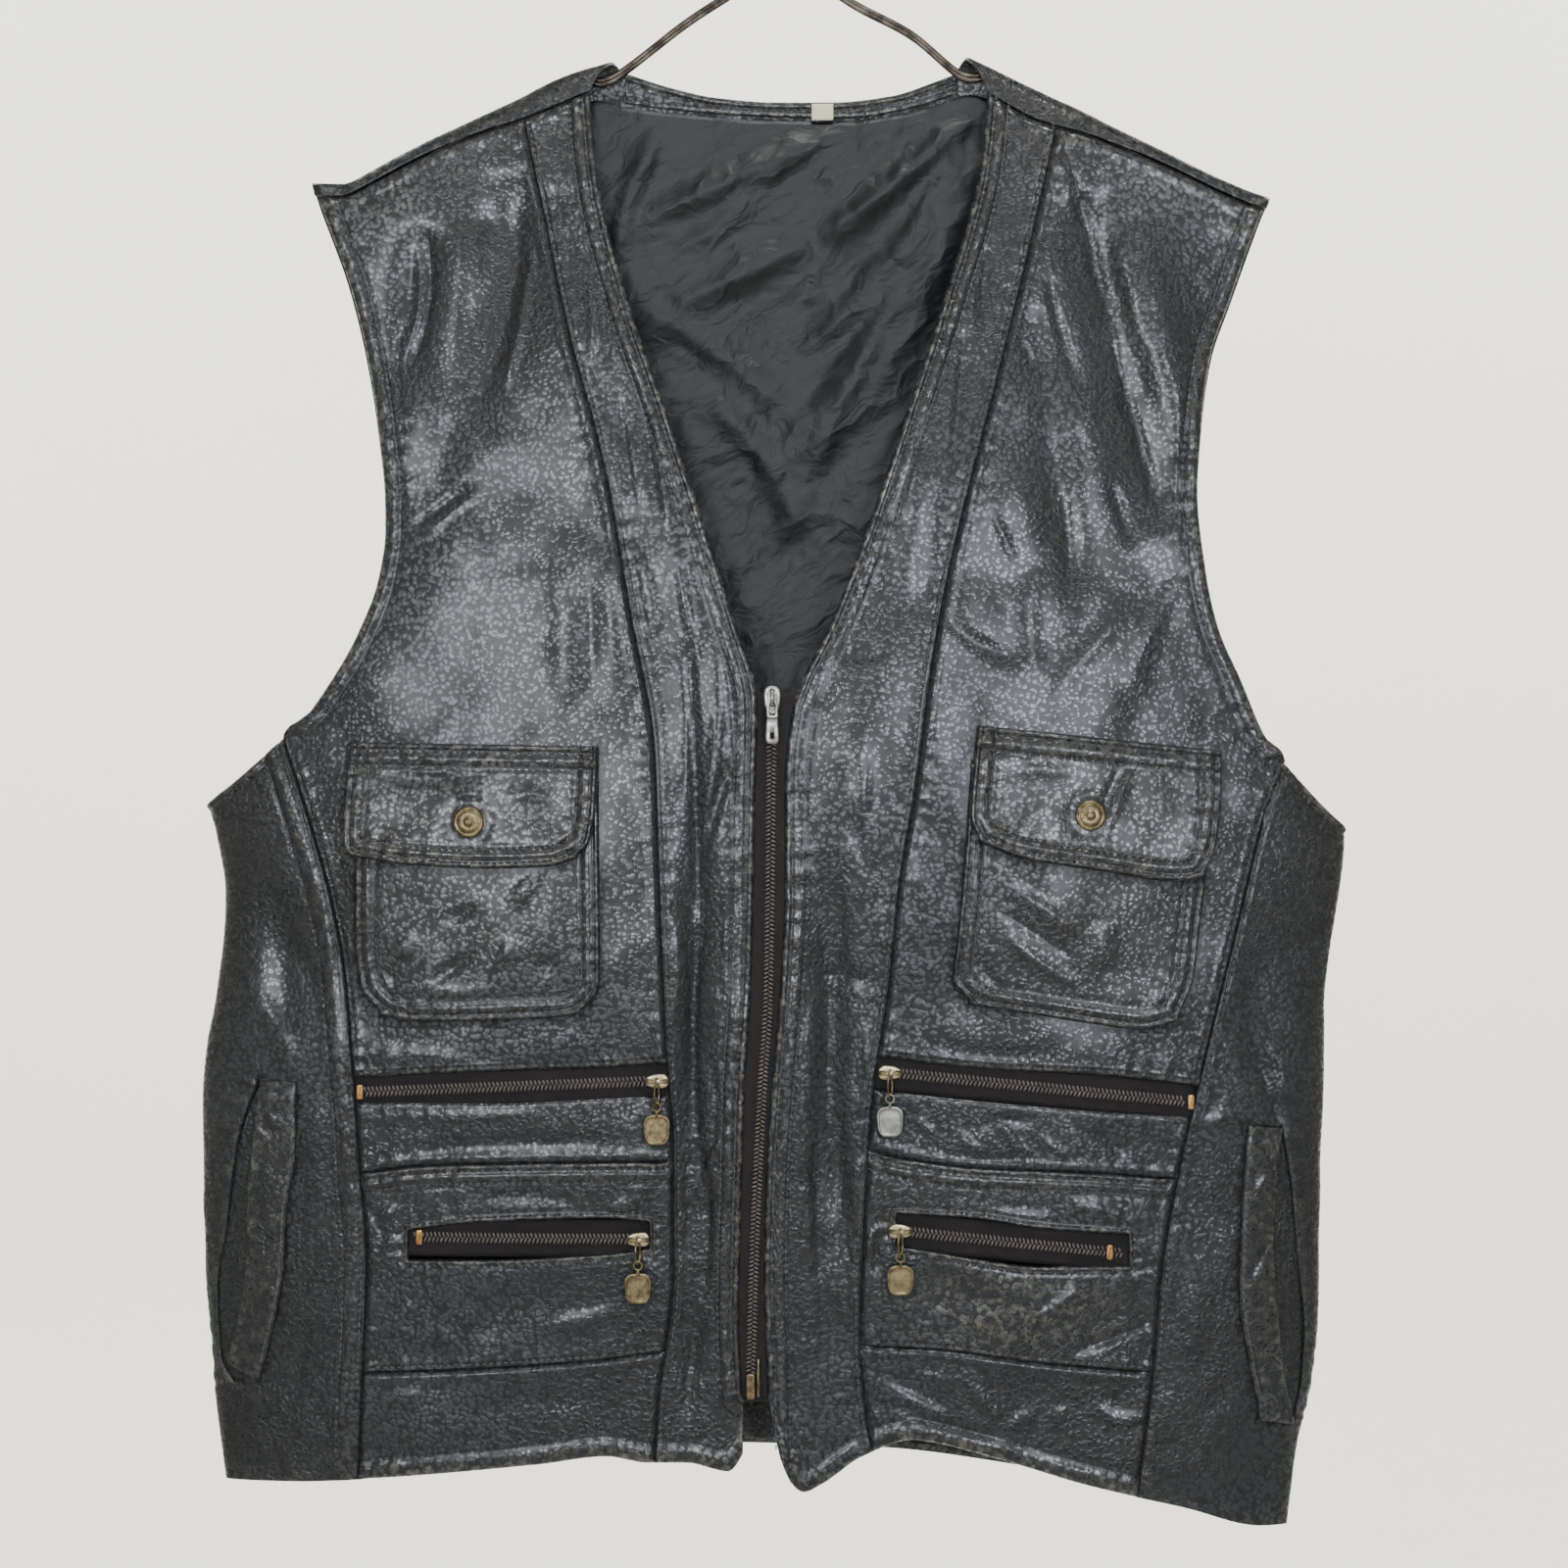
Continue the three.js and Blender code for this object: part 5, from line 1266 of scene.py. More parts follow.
HEM_CREASES = {
    "r": [
        (-196, -766, -185, -764, -171, -759, 3.8, 0.7), (-152, -771, -124, -764, -95, -767, 5.6, -0.8),
        (-77, -771, -70, -775, -62, -776, 2.3, 0.7),
    ],
    "l": [
        (42, -749, 60, -759, 79, -768, 2.3, -1.3), (86, -754, 93, -764, 102, -773, 2.3, 1.2),
        (110, -771, 112, -773, 114, -775, 5.2, 1), (130, -768, 132, -771, 134, -772, 5.2, 1),
        (147, -766, 158, -773, 170, -771, 2.3, 1), (50, -766, 74, -775, 102, -782, 2.3, -1.2),
        (60, -751, 74, -754, 88, -752, 1.9, 0.8),
    ],
}
SIDES["r"].update(hem_ends=(-203, -62))
SIDES["l"].update(hem_ends=(41, 168))


def hem_worn(x, z):
    return 0.5 * np.exp(-(((z - hem(x)) / 6) ** 2))


for key, part in SIDES.items():
    inner, outer = panel_edges(part)
    top = by_width(part["pouch_bottom"], -INSET)
    edges = {
        "side": [(edge_line(edge, -800, -745, count=12), "seam", ()) for edge in (inner, outer)],
        "end": [
            (edge_line(top, *part["hem_ends"], False), "seam", ()),
            (edge_line(hem, *part["hem_ends"], False), "turned", HEM_ROWS),
        ],
    }
    panel, skin = sewn_panel(
        f"hem_leather_{key}", between(*ordered(part["sign"], inner, outer), hem, top), cuts(142, CELL),
        cuts(50, 1.8),
        BODY_LAYER, edges, HEM_CREASES[key], worn=hem_worn,
    )
    leather_piece(panel, f"hem_panel_{key}")
    line = edge_line(hem, part["hem_ends"][0] + 4, part["hem_ends"][1] - 4, False)
    sew(f"hem_stitches_{key}", skin, [inset_line(line, HEM_ROWS[0], (0, 1))])

# The side panels: from the front's side seam round the body to the back, with the slanted mouth of the
# hand pocket.

UNDERARM_R = {"x": [-279, -265, -242], "z": [-479, -468, -448]}
UNDERARM_L = {"x": [239, 258, 269], "z": [-460, -480, -490]}
MOUTH_R = {"z": [-612, -640, -686, -712, -745, -757], "inner": [-245, -247, -249, -252, -257, -261],
           "outer": [-253, -263, -270, -274.5, -273, -266]}
MOUTH_L = {"z": [-634, -660, -695, -733, -757, -776], "inner": [228, 226, 225, 227, 231, 236],
           "outer": [237, 242, 245.5, 249, 248, 244]}
WELT_R = {
    "left": {"z": [-612, -639, -667, -700, -726, -746], "x": [-252, -255, -258, -259, -263, -268]},
    "right": {"z": [-612, -648, -672, -705, -726, -756], "x": [-234, -235, -239, -241, -245, -253]},
    "bottom": {"x": [-268, -253], "z": [-748, -756]}, "top": {"x": [-252, -234], "z": [-611, -613]},
}
WELT_L = {
    "left": {"z": [-634, -677, -714, -742, -771], "x": [220, 217, 216, 220, 226]},
    "right": {"z": [-635, -663, -695, -724, -752, -775], "x": [237, 234, 233, 235, 238, 243]},
    "bottom": {"x": [226, 243], "z": [-775, -777]}, "top": {"x": [219, 238], "z": [-633, -635]},
}
SIDE_CREASES = {
    "r": [
        (-222, -517, -219, -536, -220, -559, 3.8, 1), (-236, -545, -227, -568, -222, -592, 4.2, -1),
        (-228, -620, -224, -648, -228, -677, 3.8, 0.9), (-265, -564, -246, -583, -236, -611, 4.7, 1),
    ],
    "l": [
        (216, -592, 229, -611, 237, -639, 3.3, -2), (222, -583, 234, -599, 242, -620, 3.3, 1.2),
        (200, -635, 208, -629, 219, -632, 2.3, 1), (197, -653, 205, -662, 210, -677, 2.8, 1),
        (189, -700, 196, -719, 194, -742, 3.8, 0.8), (210, -752, 205, -766, 197, -771, 2.8, -0.8),
    ],
}
BAND_ROWS = (2.4, 11.0)
SIDES["r"].update(bound=side_r, underarm=UNDERARM_R, mouth=MOUTH_R, welt=WELT_R, side_low=-802)
SIDES["l"].update(bound=side_l, underarm=UNDERARM_L, mouth=MOUTH_L, welt=WELT_L, side_low=-808)
MOUTH_S = (0.25, 0.45)
MOUTH_ROWS = (0.14, 0.57)


def round_side(part):
    """Lays a side panel by the turn round the body, with the pocket's mouth on fixed shares of its lines."""
    sign, bound = part["sign"], part["bound"]
    front_seam = by_height(part["seam"])
    back_seam = by_height(part["armhole"], sign * GAP)
    mouth = part["mouth"]
    inner, outer = through(mouth["z"], mouth["inner"]), through(mouth["z"], mouth["outer"])
    under = by_width(part["underarm"])

    def angle(x, z):
        return np.arcsin(np.clip((x - CENTRE_X) / (bound(z) - CENTRE_X), 0, 1))

    def layout(s, r):
        x, z = 0 * s + front_seam(-600), 0 * s - 600
        turn = z
        for _ in range(3 * SETTLE):
            marks = [angle(front_seam(z), z), angle(inner(z), z), angle(outer(z), z),
                     math.pi - angle(back_seam(z), z)]
            turn = stretched(s, (0.0, *MOUTH_S, 1.0), marks)
            x = CENTRE_X + (bound(z) - CENTRE_X) * np.sin(turn)
            marks = [hem(x), mouth["z"][-1] + 0 * z, mouth["z"][0] + 0 * z, under(x)]
            z = z + 0.7 * (stretched(r, (0.0, *MOUTH_ROWS, 1.0), marks) - z)
        return x, z, np.where(turn <= math.pi / 2, FRONT, BACK)

    return layout


for key, part in SIDES.items():
    sign = part["sign"]
    front_seam = by_height(part["seam"])
    rows = BAND_ROWS if key == "r" else SEAM_ROWS
    mouth, underarm = part["mouth"], part["underarm"]
    outer = through(mouth["z"], mouth["outer"])
    edges = {"side": [(edge_line(front_seam, part["side_low"], part["corner"] - 2), "seam", rows),
                      (edge_line(outer, mouth["z"][-1], mouth["z"][0]), "turned", ())],
             "end": [(edge_line(by_width(underarm), underarm["x"][0], underarm["x"][-1], False),
                      "turned", (4.0,))]}
    across = cuts_round((28, 16, 70), (0.0, *MOUTH_S, 1.0), 2.2)
    upward = cuts_round((45, 145, 150), (0.0, *MOUTH_ROWS, 1.0), 2.3)
    # The side panel is painted darker round the welt, as its shadow
    panel, skin = sewn_panel(
        f"side_leather_{key}", round_side(part), across, upward, BODY_LAYER, edges, SIDE_CREASES[key],
        hole=(*MOUTH_S, *MOUTH_ROWS), worn=hem_worn,
        under=[(line, 2.0) for line in outline(patch_layout(part["welt"]), 1.0)],
    )
    leather_piece(panel, f"side_panel_{key}")
    lines = [stitch_line(front_seam, rows[0], (sign, 0), part["side_low"] + 4, part["corner"] - 6)]
    if key == "r":
        lines.append(stitch_line(front_seam, rows[1], (sign, 0), part["side_low"] + 4, -600))
    sew(f"side_stitches_{key}", skin, lines)

# The chest pockets: patch pockets with rounded lower corners, their edges turned and stitched twice. They
# are worn to the shape of what was carried in them, so each has its own dents.

POCKET_CREASES = {
    "r": [
        (-160, -554, -158, -557, -156, -560, 8.5, -1.3), (-157, -529, -156, -532, -155, -536, 6.1, -0.9),
        (-185, -545, -183, -548, -180, -552, 5.6, 1), (-137, -549, -134, -551, -131, -555, 5.6, 1),
        (-128, -517, -125, -520, -121, -523, 7.5, 0.8), (-116, -553, -114, -556, -111, -559, 4.7, -0.9),
        (-175, -565, -159, -569, -142, -567, 2.8, 0.5), (-192, -557, -189, -561, -186, -567, 2.3, -0.7),
    ],
    "l": [
        (105, -520, 121, -529, 138, -542, 3.3, 1), (103, -540, 116, -552, 138, -566, 2.8, 1.1),
        (101, -530, 117, -540, 136, -553, 2.3, -0.8), (149, -536, 150, -545, 151, -557, 5.6, 0.7),
        (88, -557, 92, -565, 98, -571, 1.9, 0.8), (93, -552, 95, -560, 102, -566, 1.4, -0.6),
        (172, -573, 175, -576, 178, -578, 3.8, 0.7),
    ],
}
POCKET_ROWS = (2.8, 8.6)
POCKET_PUFF = 2.0


def joined_line(lines, soften=3):
    """Lines end to end as one, with the corners eased."""
    line = stepped(np.vstack(lines), 1.0)
    for _ in range(soften):
        line[1:-1] = (line[:-2] + 2 * line[1:-1] + line[2:]) / 4
    return line


def patch_rows(layout, inset, top=1.0, width=115.0, height=110.0):
    """A row of stitches at an inset from the sides and the foot of a patch."""
    ds, dr = inset / width, inset / height
    t = np.linspace(0, 1, 40)
    corner = 0.05
    bend = np.linspace(0, math.pi / 2, 8)
    s = [0 * t + ds, ds + corner * (1 - np.cos(bend)), ds + corner + (1 - 2 * ds - 2 * corner) * t,
         1 - ds - corner + corner * np.sin(bend), 0 * t + 1 - ds]
    r = [top - (top - dr - corner) * t, dr + corner * (1 - np.sin(bend)), 0 * t + dr,
         dr + corner * (1 - np.cos(bend)), dr + corner + (top - dr - corner) * t]
    x, z, _ = layout(np.concatenate(s), np.concatenate(r))
    return joined_line([np.column_stack([x, z])])


def swell_of(middle, half, most, power=0.5):
    """A low dome over a patch."""

    def swell(x, z):
        u = np.clip(1 - ((x - middle[0]) / half[0]) ** 2, 0, 1)
        v = np.clip(1 - ((z - middle[1]) / half[1]) ** 2, 0, 1)
        return most * (u * v) ** power

    return swell


pocket_domes = {"r": ((-148, -520), (61, 66), 2.2), "l": ((141, -518), (61, 68), 2.2)}
pockets = {}
for key, shape, flap in (("r", POCKET_R, FLAP_R), ("l", POCKET_L, FLAP_L)):
    layout = patch_layout(shape)
    left, foot, right = outline(layout, 0.96)
    edges = {"side": [(line, "turned", POCKET_ROWS) for line in (left, right, foot)]}
    # The pocket is painted darker along the flap's foot, as its shadow
    panel, skin = sewn_panel(
        f"chest_pocket_leather_{key}", layout, cuts(115, 1.5), cuts(112, 1.5), PATCH_LAYER, edges,
        POCKET_CREASES[key],
        swell=swell_of(*pocket_domes[key]), uneven=0.8, under=[(outline(patch_layout(flap), 1.0)[1], 3.0)],
    )
    leather_piece(panel, f"chest_pocket_{key}")
    sew(f"chest_pocket_stitches_{key}", skin, [patch_rows(layout, row) for row in POCKET_ROWS])
    pockets[key] = panel

# The pocket flaps: two layers of hide sewn and turned, standing a little off the pocket, with a stitched
# header and two rows of stitches round the edge.

FLAP_CREASES = {
    "r": [
        (-194, -465, -171, -468, -142, -465, 2.8, -0.7), (-133, -477, -124, -475, -114, -477, 3.3, 0.6),
        (-189, -493, -185, -496, -178, -498, 2.8, 0.5), (-156, -477, -151, -475, -145, -477, 2.3, 0.5),
    ],
    "l": [
        (164, -463, 157, -479, 150, -497, 1.9, 0.9), (159, -460, 152, -477, 145, -493, 1.9, -0.7),
        (97, -498, 102, -494, 105, -489, 1.9, 0.7), (107, -465, 121, -463, 135, -466, 2.8, -0.5),
    ],
}
FLAP_FROM = PATCH_LAYER[1] + GAP + POCKET_PUFF
FLAP_LAYER = (FLAP_FROM, FLAP_FROM + LEATHER)
FLAP_ROWS = (2.8, 8.8)
HEADER_ROWS = (3.4, 11.0)
SNAP_AT = {"r": (-151, -488), "l": (144, -485)}


def flap_swell(key):
    """The flap stands out over the snap's post, sinks round the cap, and hangs free along its foot."""
    sx, sz = SNAP_AT[key]
    top = by_width((FLAP_R if key == "r" else FLAP_L)["top"])

    def swell(x, z):
        away = np.hypot(x - sx, z - sz)
        below = np.clip((top(x) - z) / 60, 0, 1)
        dent = -0.5 * np.exp(-(((away - 9.5) / 3.0) ** 2))
        header = -0.3 * (1 - np.clip((top(x) - z) / 14, 0, 1)) ** 2
        return 2.6 * below**1.4 + 0.7 * np.exp(-((away / 26) ** 2)) + dent + header

    return swell


flaps, flap_skins = {}, {}
for key, shape in (("r", FLAP_R), ("l", FLAP_L)):
    layout = patch_layout(shape)
    left, foot, right = outline(layout, 1.0)
    top = by_width(shape["top"])
    head = edge_line(top, shape["top"]["x"][0], shape["top"]["x"][1], False)
    edges = {"side": [(line, "turned", FLAP_ROWS) for line in (left, right, foot)],
             "end": [(head, "turned", HEADER_ROWS)]}
    panel, skin = sewn_panel(
        f"pocket_flap_leather_{key}", layout, cuts(118, 1.4), cuts(58, 1.4), FLAP_LAYER, edges,
        FLAP_CREASES[key], swell=flap_swell(key), uneven=0.8, worn=level(0.35),
    )
    leather_piece(panel, f"pocket_flap_{key}")
    lines = [patch_rows(layout, row, 0.78, 118, 58) for row in FLAP_ROWS]
    lines += [inset_line(head[1:-1], row, (0, -1)) for row in HEADER_ROWS]
    sew(f"pocket_flap_stitches_{key}", skin, lines)
    flaps[key], flap_skins[key] = panel, skin

# The snaps: spun brass caps, with a raised centre and rings, riveted through the flaps over their sockets.

# Brass with an antique finish: dark in the hollows and buffed bright on what stands up.
ANTIQUE_BRASS = worn_metal("antique_brass_spun_and_buffed", "#84775b", "#574c37", 0.3, 0.003, 0.0006, 0.00006)


def lathe(profile, segments, flutes=0, flute_depth=0.0, flute_span=(0, 0)):
    """Points and faces of a form turned about the y axis, facing -Y, with flutes on a span of its radii."""
    points = []
    for radius, height in profile:
        for k in range(segments):
            a = TURN * k / segments
            pressed = 0.0
            if flutes and flute_span[0] < radius < flute_span[1]:
                pressed = flute_depth * (0.5 + 0.5 * math.cos(flutes * a))
            points.append((radius * math.cos(a), -height + pressed, radius * math.sin(a)))
    return np.array(points), [face[::-1] for face in ring_faces(len(profile), segments)]


def set_on(points, seat, out):
    """Turns points that face -Y to face out, and sets them on a seat."""
    turn = Vector((0, -1, 0)).rotation_difference(Vector(out)).to_matrix()
    return np.asarray(points) @ np.array(turn).T + np.asarray(seat)


CAP_PROFILE = [
    (6.9, -0.35), (7.3, 0.05), (7.35, 0.45), (7.1, 0.95), (6.6, 1.3), (6.2, 1.32), (5.9, 1.18), (5.6, 1.2),
    (5.2, 1.42), (4.6, 1.62), (4.0, 1.74), (3.4, 1.8), (3.0, 1.68), (2.7, 1.6), (2.4, 1.68), (2.0, 1.95),
    (1.5, 2.15), (1.0, 2.26), (0.5, 2.32), (0.12, 2.33),
]
for key, (x, z) in SNAP_AT.items():
    seat, out = flap_skins[key](np.array([x]), np.array([z]))
    points, faces = lathe(CAP_PROFILE, 72, 24, 0.16, (3.1, 5.8))
    cap = piece(f"snap_{key}", set_on(points, seat[0] + out[0] * 0.25, out[0]), faces, ANTIQUE_BRASS)
    stands_for(cap, f"snap_cap_{key}")

# The welts: a folded strip sewn over the outer edge of each hand pocket's mouth, with the facing behind it.

FACING_R = {"left": {"z": [-606, -640, -686, -712, -745, -762], "x": [-256, -265, -272, -276, -276, -270]},
            "right": {"z": [-606, -700, -762], "x": [-242, -248, -255]}, "low": -762, "high": -606}
FACING_L = {"left": {"z": [-630, -700, -782], "x": [226, 223, 232]},
            "right": {"z": [-630, -662, -705, -733, -782], "x": [243, 246, 249, 251, 245]},
            "low": -782, "high": -630}
WELT_LAYER = (2 * GAP, 2 * GAP + LEATHER)
UNDER = -LEATHER - GAP
FACING_LAYER = (UNDER - GAP - 1.0, UNDER - GAP)
WELT_CREASES = {
    "r": [(-256, -625, -250, -640, -243, -650, 2.0, 0.6), (-262, -690, -256, -700, -250, -712, 2.4, -0.6)],
    "l": [(232, -652, 227, -662, 222, -670, 2.0, 0.7), (233, -690, 228, -700, 221, -712, 2.2, 0.7),
          (226, -730, 230, -745, 236, -758, 2.4, -0.6)],
}
for key, welt, facing in (("r", WELT_R, FACING_R), ("l", WELT_L, FACING_L)):
    layout = patch_layout(welt)
    left, foot, right = outline(layout, 1.0)
    edges = {"side": [(left, "turned", ()), (right, "turned", ())], "end": [(foot, "turned", ())]}
    panel, skin = sewn_panel(
        f"welt_leather_{key}", layout, cuts(18, 1.3), cuts(142, 1.8), WELT_LAYER, edges, WELT_CREASES[key],
        swell=level(0.5), worn=level(0.3),
    )
    leather_piece(panel, f"welt_{key}")
    inner = left if key == "l" else right
    sew(f"welt_stitches_{key}", skin, [inset_line(inner[2:-2], 1.8, (1 if key == "l" else -1, 0))])
    layout = between(by_height(facing["left"]), by_height(facing["right"]), level(facing["low"]),
                     level(facing["high"]))
    panel, skin = sewn_panel(f"welt_facing_leather_{key}", layout, cuts(22, 2.0), cuts(150, 2.4),
                             FACING_LAYER, {}, uneven=0.3)
    leather_piece(panel, f"welt_facing_{key}")

# The zips: nylon coils sewn to woven tapes that lie under the leather's turned edges. Four close the
# pockets and a longer one, in two halves, closes the front.


def woven_tape():
    """Polyester zip tape, herringbone woven: a dull dark band with a fine slanting rib."""
    material, tree, where = new_material("herringbone_woven_polyester_tape")
    # The ribs are 0.9 mm apart, twice the real tape's, so that they show
    rib = put(tree, "TexWave", {"Vector": where, "Scale": 350.0, "Distortion": 0.6},
              bands_direction="DIAGONAL")
    cross = put(tree, "TexWave", {"Vector": where, "Scale": 520.0, "Distortion": 0.4}, bands_direction="Z")
    height = put(tree, "Math", {0: rib.outputs["Fac"], 1: cross.outputs["Fac"]}, operation="ADD")
    cloud = put(tree, "TexNoise", {"Vector": where, "Scale": 60.0, "Detail": 3.0})
    show(tree, {
        "Base Color": mix_colours(tree, cloud, "#191617", "#262123"), "Roughness": 0.78, "IOR": 1.55,
        "Specular IOR Level": 0.25,
        "Normal": put(tree, "Bump", {"Height": height, "Distance": 0.00012, "Strength": 0.7}),
    })
    return material


def nylon_coil():
    """Drawn nylon monofilament, dyed black-brown: smooth, with a clear bright line along each turn."""
    material, tree, where = new_material("drawn_nylon_monofilament")
    cloud = put(tree, "TexNoise", {"Vector": where, "Scale": 90.0, "Detail": 2.0})
    show(tree, {
        "Base Color": mix_colours(tree, cloud, "#45403d", "#655c57"),
        "Roughness": put(tree, "MapRange", {"Value": cloud, "To Min": 0.25, "To Max": 0.45}), "IOR": 1.53,
    })
    return material


TAPE = woven_tape()
COIL = nylon_coil()
TAPE_TOP = UNDER - GAP
TAPE_THICK = 0.8
TAPE_PAST = 5  # how far the tapes run on under the leather
COIL_PITCH = 2.0  # a third more than the real coil's, so that its turns show
COIL_LIFT = -1.0  # the coil's middle, from the leather's outer face
COIL_UPPER = {"r": {"x": [-205, -53], "z": [-617, -611]}, "l": {"x": [45, 195], "z": [-607, -622]}}
COIL_LOWER = {"r": {"x": [-190, -58], "z": [-686, -687]}, "l": {"x": [44, 171], "z": [-682, -695]}}
ZIPS = {
    "upper_r": (COIL_UPPER["r"], (-203, -57, -202, -58)),
    "upper_l": (COIL_UPPER["l"], (46, 191, 47, 190)),
    "lower_r": (COIL_LOWER["r"], (-190, -58, -178, -69)),
    "lower_l": (COIL_LOWER["l"], (44, 171, 57, 160)),
}


def coil_along(line):
    """Turns of two meeting coils along a line of (x, z) points: strokes slanting from each side inward."""
    holes = stepped(line, COIL_PITCH)
    face, out = body_face(holes[:, 0], holes[:, 1], np.full(len(holes), FRONT))
    face = face + out * COIL_LIFT + out * slack(holes[:, 0], holes[:, 1])[:, None]
    ahead = np.gradient(face, axis=0)
    ahead /= np.linalg.norm(ahead, axis=1, keepdims=True)
    across = np.cross(ahead, out)
    starts, ends, outs = [], [], []
    for hand in (-1, 1):
        shift = 0.0 if hand < 0 else COIL_PITCH / 2
        centre = face + ahead * shift
        starts.append(centre + across * hand * 2.5 - ahead * 0.35)
        ends.append(centre - across * hand * 0.15 + ahead * 0.75)
        outs.append(out)
    return capsules(np.vstack(starts), np.vstack(ends), np.vstack(outs), 0.6, 0.5, 6)


def tape_wall(name, layout, across, upward):
    """A flat tape under the leather."""
    s, r = np.meshgrid(across, upward)
    x, z, side = layout(s, r)
    point, out = body_face(x, z, side)
    point = point + out * slack(x, z)[..., None]
    outer = point + out * TAPE_TOP
    inner = point + out * (TAPE_TOP - TAPE_THICK)
    keep = np.ones((len(upward) - 1, len(across) - 1), bool)
    return laid_mesh(name, outer, inner, keep, out, TAPE)[0]


def add_to(made, points, faces, material):
    """Adds more mesh, in its own material, to a piece."""
    mesh = made.data
    mesh.materials.append(material)
    slot = len(mesh.materials) - 1
    start, start_faces = len(mesh.vertices), len(mesh.polygons)
    old = np.zeros(start * 3)
    mesh.vertices.foreach_get("co", old)
    old_faces = [tuple(p.vertices) for p in mesh.polygons]
    fresh = bpy.data.meshes.new(mesh.name)
    all_points = np.vstack([old.reshape(-1, 3), np.asarray(points) * MM])
    all_faces = old_faces + [tuple(start + v for v in f) for f in faces]
    fresh.from_pydata(all_points.tolist(), [], all_faces)
    for m in mesh.materials:
        fresh.materials.append(m)
    fresh.polygons.foreach_set("use_smooth", [True] * len(all_faces))
    slots = [p.material_index for p in mesh.polygons] + [slot] * (len(all_faces) - start_faces)
    fresh.polygons.foreach_set("material_index", slots)
    made.data = fresh


for name, (line, (from_x, to_x, coil_from, coil_to)) in ZIPS.items():
    row, key = name.split("_")
    centre = by_width(line)
    layout = between(level(from_x - TAPE_PAST), level(to_x + TAPE_PAST), by_width(line, -9),
                     by_width(line, 9))
    tape = tape_wall(f"{row}_zip_tape_{key}", layout, np.linspace(0, 1, 70), np.linspace(0, 1, 9))
    add_to(tape, *coil_along(edge_line(centre, coil_from, coil_to, False)), COIL)
    stands_for(tape, f"{row}_zip_{key}")

COIL_MAIN = {
    "z": [-428, -470, -517, -573, -611, -658, -705, -766],
    "x": [-7, -7.5, -8, -9, -11.5, -14, -16, -17.5],
}
MAIN_HALF = 15
coil_main = by_height(COIL_MAIN)
for key, sign in (("r", -1), ("l", 1)):
    inner = by_height(COIL_MAIN, sign * INSET)
    outer = by_height(COIL_MAIN, sign * MAIN_HALF)
    layout = between(*ordered(sign, inner, outer), level(-764), level(-426))
    tape = tape_wall(f"main_zip_half_{key}", layout, np.linspace(0, 1, 9), np.linspace(0, 1, 150))
    if key == "l":
        add_to(tape, *coil_along(edge_line(coil_main, -752, -436)), COIL)
    stands_for(tape, f"main_zip_tape_{key}")

# The main zip's metalwork: a cast zinc slider at the top of the closed teeth with its strap and pull, and
# the brass box that holds the two halves together at the foot.

# Die-cast zinc, barrelled and nickelled, gone soft grey with handling.
ZINC = worn_metal("cast_zinc_nickelled_and_worn", "#b0afab", "#706e69", 0.28, 0.005, 0.0007, 0.00005)


def rounded(top_width, foot_width, top, bottom, power=4.0, count=56):
    """An outline of (x, z) points: a rounded block that may be wider at one end."""
    a = TURN * np.arange(count) / count
    u = np.sign(np.cos(a)) * np.abs(np.cos(a)) ** (2 / power)
    v = np.sign(np.sin(a)) * np.abs(np.sin(a)) ** (2 / power)
    half = (foot_width + (top_width - foot_width) * (v + 1) / 2) / 2
    return np.column_stack([u * half, (top + bottom) / 2 + (top - bottom) / 2 * v])


def shrunk(outline, amount):
    """An outline moved inwards along its normals."""
    ahead = np.roll(outline, -1, 0) - np.roll(outline, 1, 0)
    normal = np.column_stack([-ahead[:, 1], ahead[:, 0]])
    normal /= np.maximum(np.linalg.norm(normal, axis=1, keepdims=True), 1e-9)
    return outline + amount * normal


def at_depth(outline, y):
    return np.column_stack([outline[:, 0], np.full(len(outline), y), outline[:, 1]])


def loft(loops, ring=False):
    """Points and faces of a skin through loops of equal count; a ring joins the last loop to the first."""
    return np.vstack(loops), ring_faces(len(loops), len(loops[0]), ring)


def cushion(outline, back, front, bevel):
    """A plate with a rounded front edge; y runs from back to front, towards -Y."""
    x, z = outline.T
    if np.dot(x, np.roll(z, -1)) < np.dot(z, np.roll(x, -1)):
        outline = outline[::-1]
    steps = [at_depth(shrunk(outline, bevel * 0.6), back), at_depth(outline, back - bevel * 0.5)]
    for t in (0.0, 0.35, 0.7, 1.0):
        a = t * math.pi / 2
        steps.append(at_depth(shrunk(outline, bevel * (1 - math.cos(a))), front + bevel * (1 - math.sin(a))))
    steps.append(at_depth(shrunk(outline, bevel * 1.8), front))
    return loft(steps)


def flat_ring(outer, inner, depth, bevel):
    """A flat ring with its edges broken, centred on y = 0."""
    h = depth / 2
    return loft(
        [
            at_depth(outer, h - bevel), at_depth(outer, bevel - h), at_depth(shrunk(outer, bevel), -h),
            at_depth(shrunk(inner, -bevel), -h), at_depth(inner, bevel - h), at_depth(inner, h - bevel),
            at_depth(shrunk(inner, -bevel), h), at_depth(shrunk(outer, bevel), h),
        ],
        ring=True,
    )


def moved(part, offset):
    return part[0] + np.asarray(offset, float), part[1]


def millimetres(node):
    """The low corner, the high corner and the centre of a node's box, and where its outlines are set."""
    lo, hi = (np.array(corner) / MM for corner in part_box(node))
    centre = (lo + hi) / 2
    return lo, hi, centre, (centre[0], 0, centre[2])


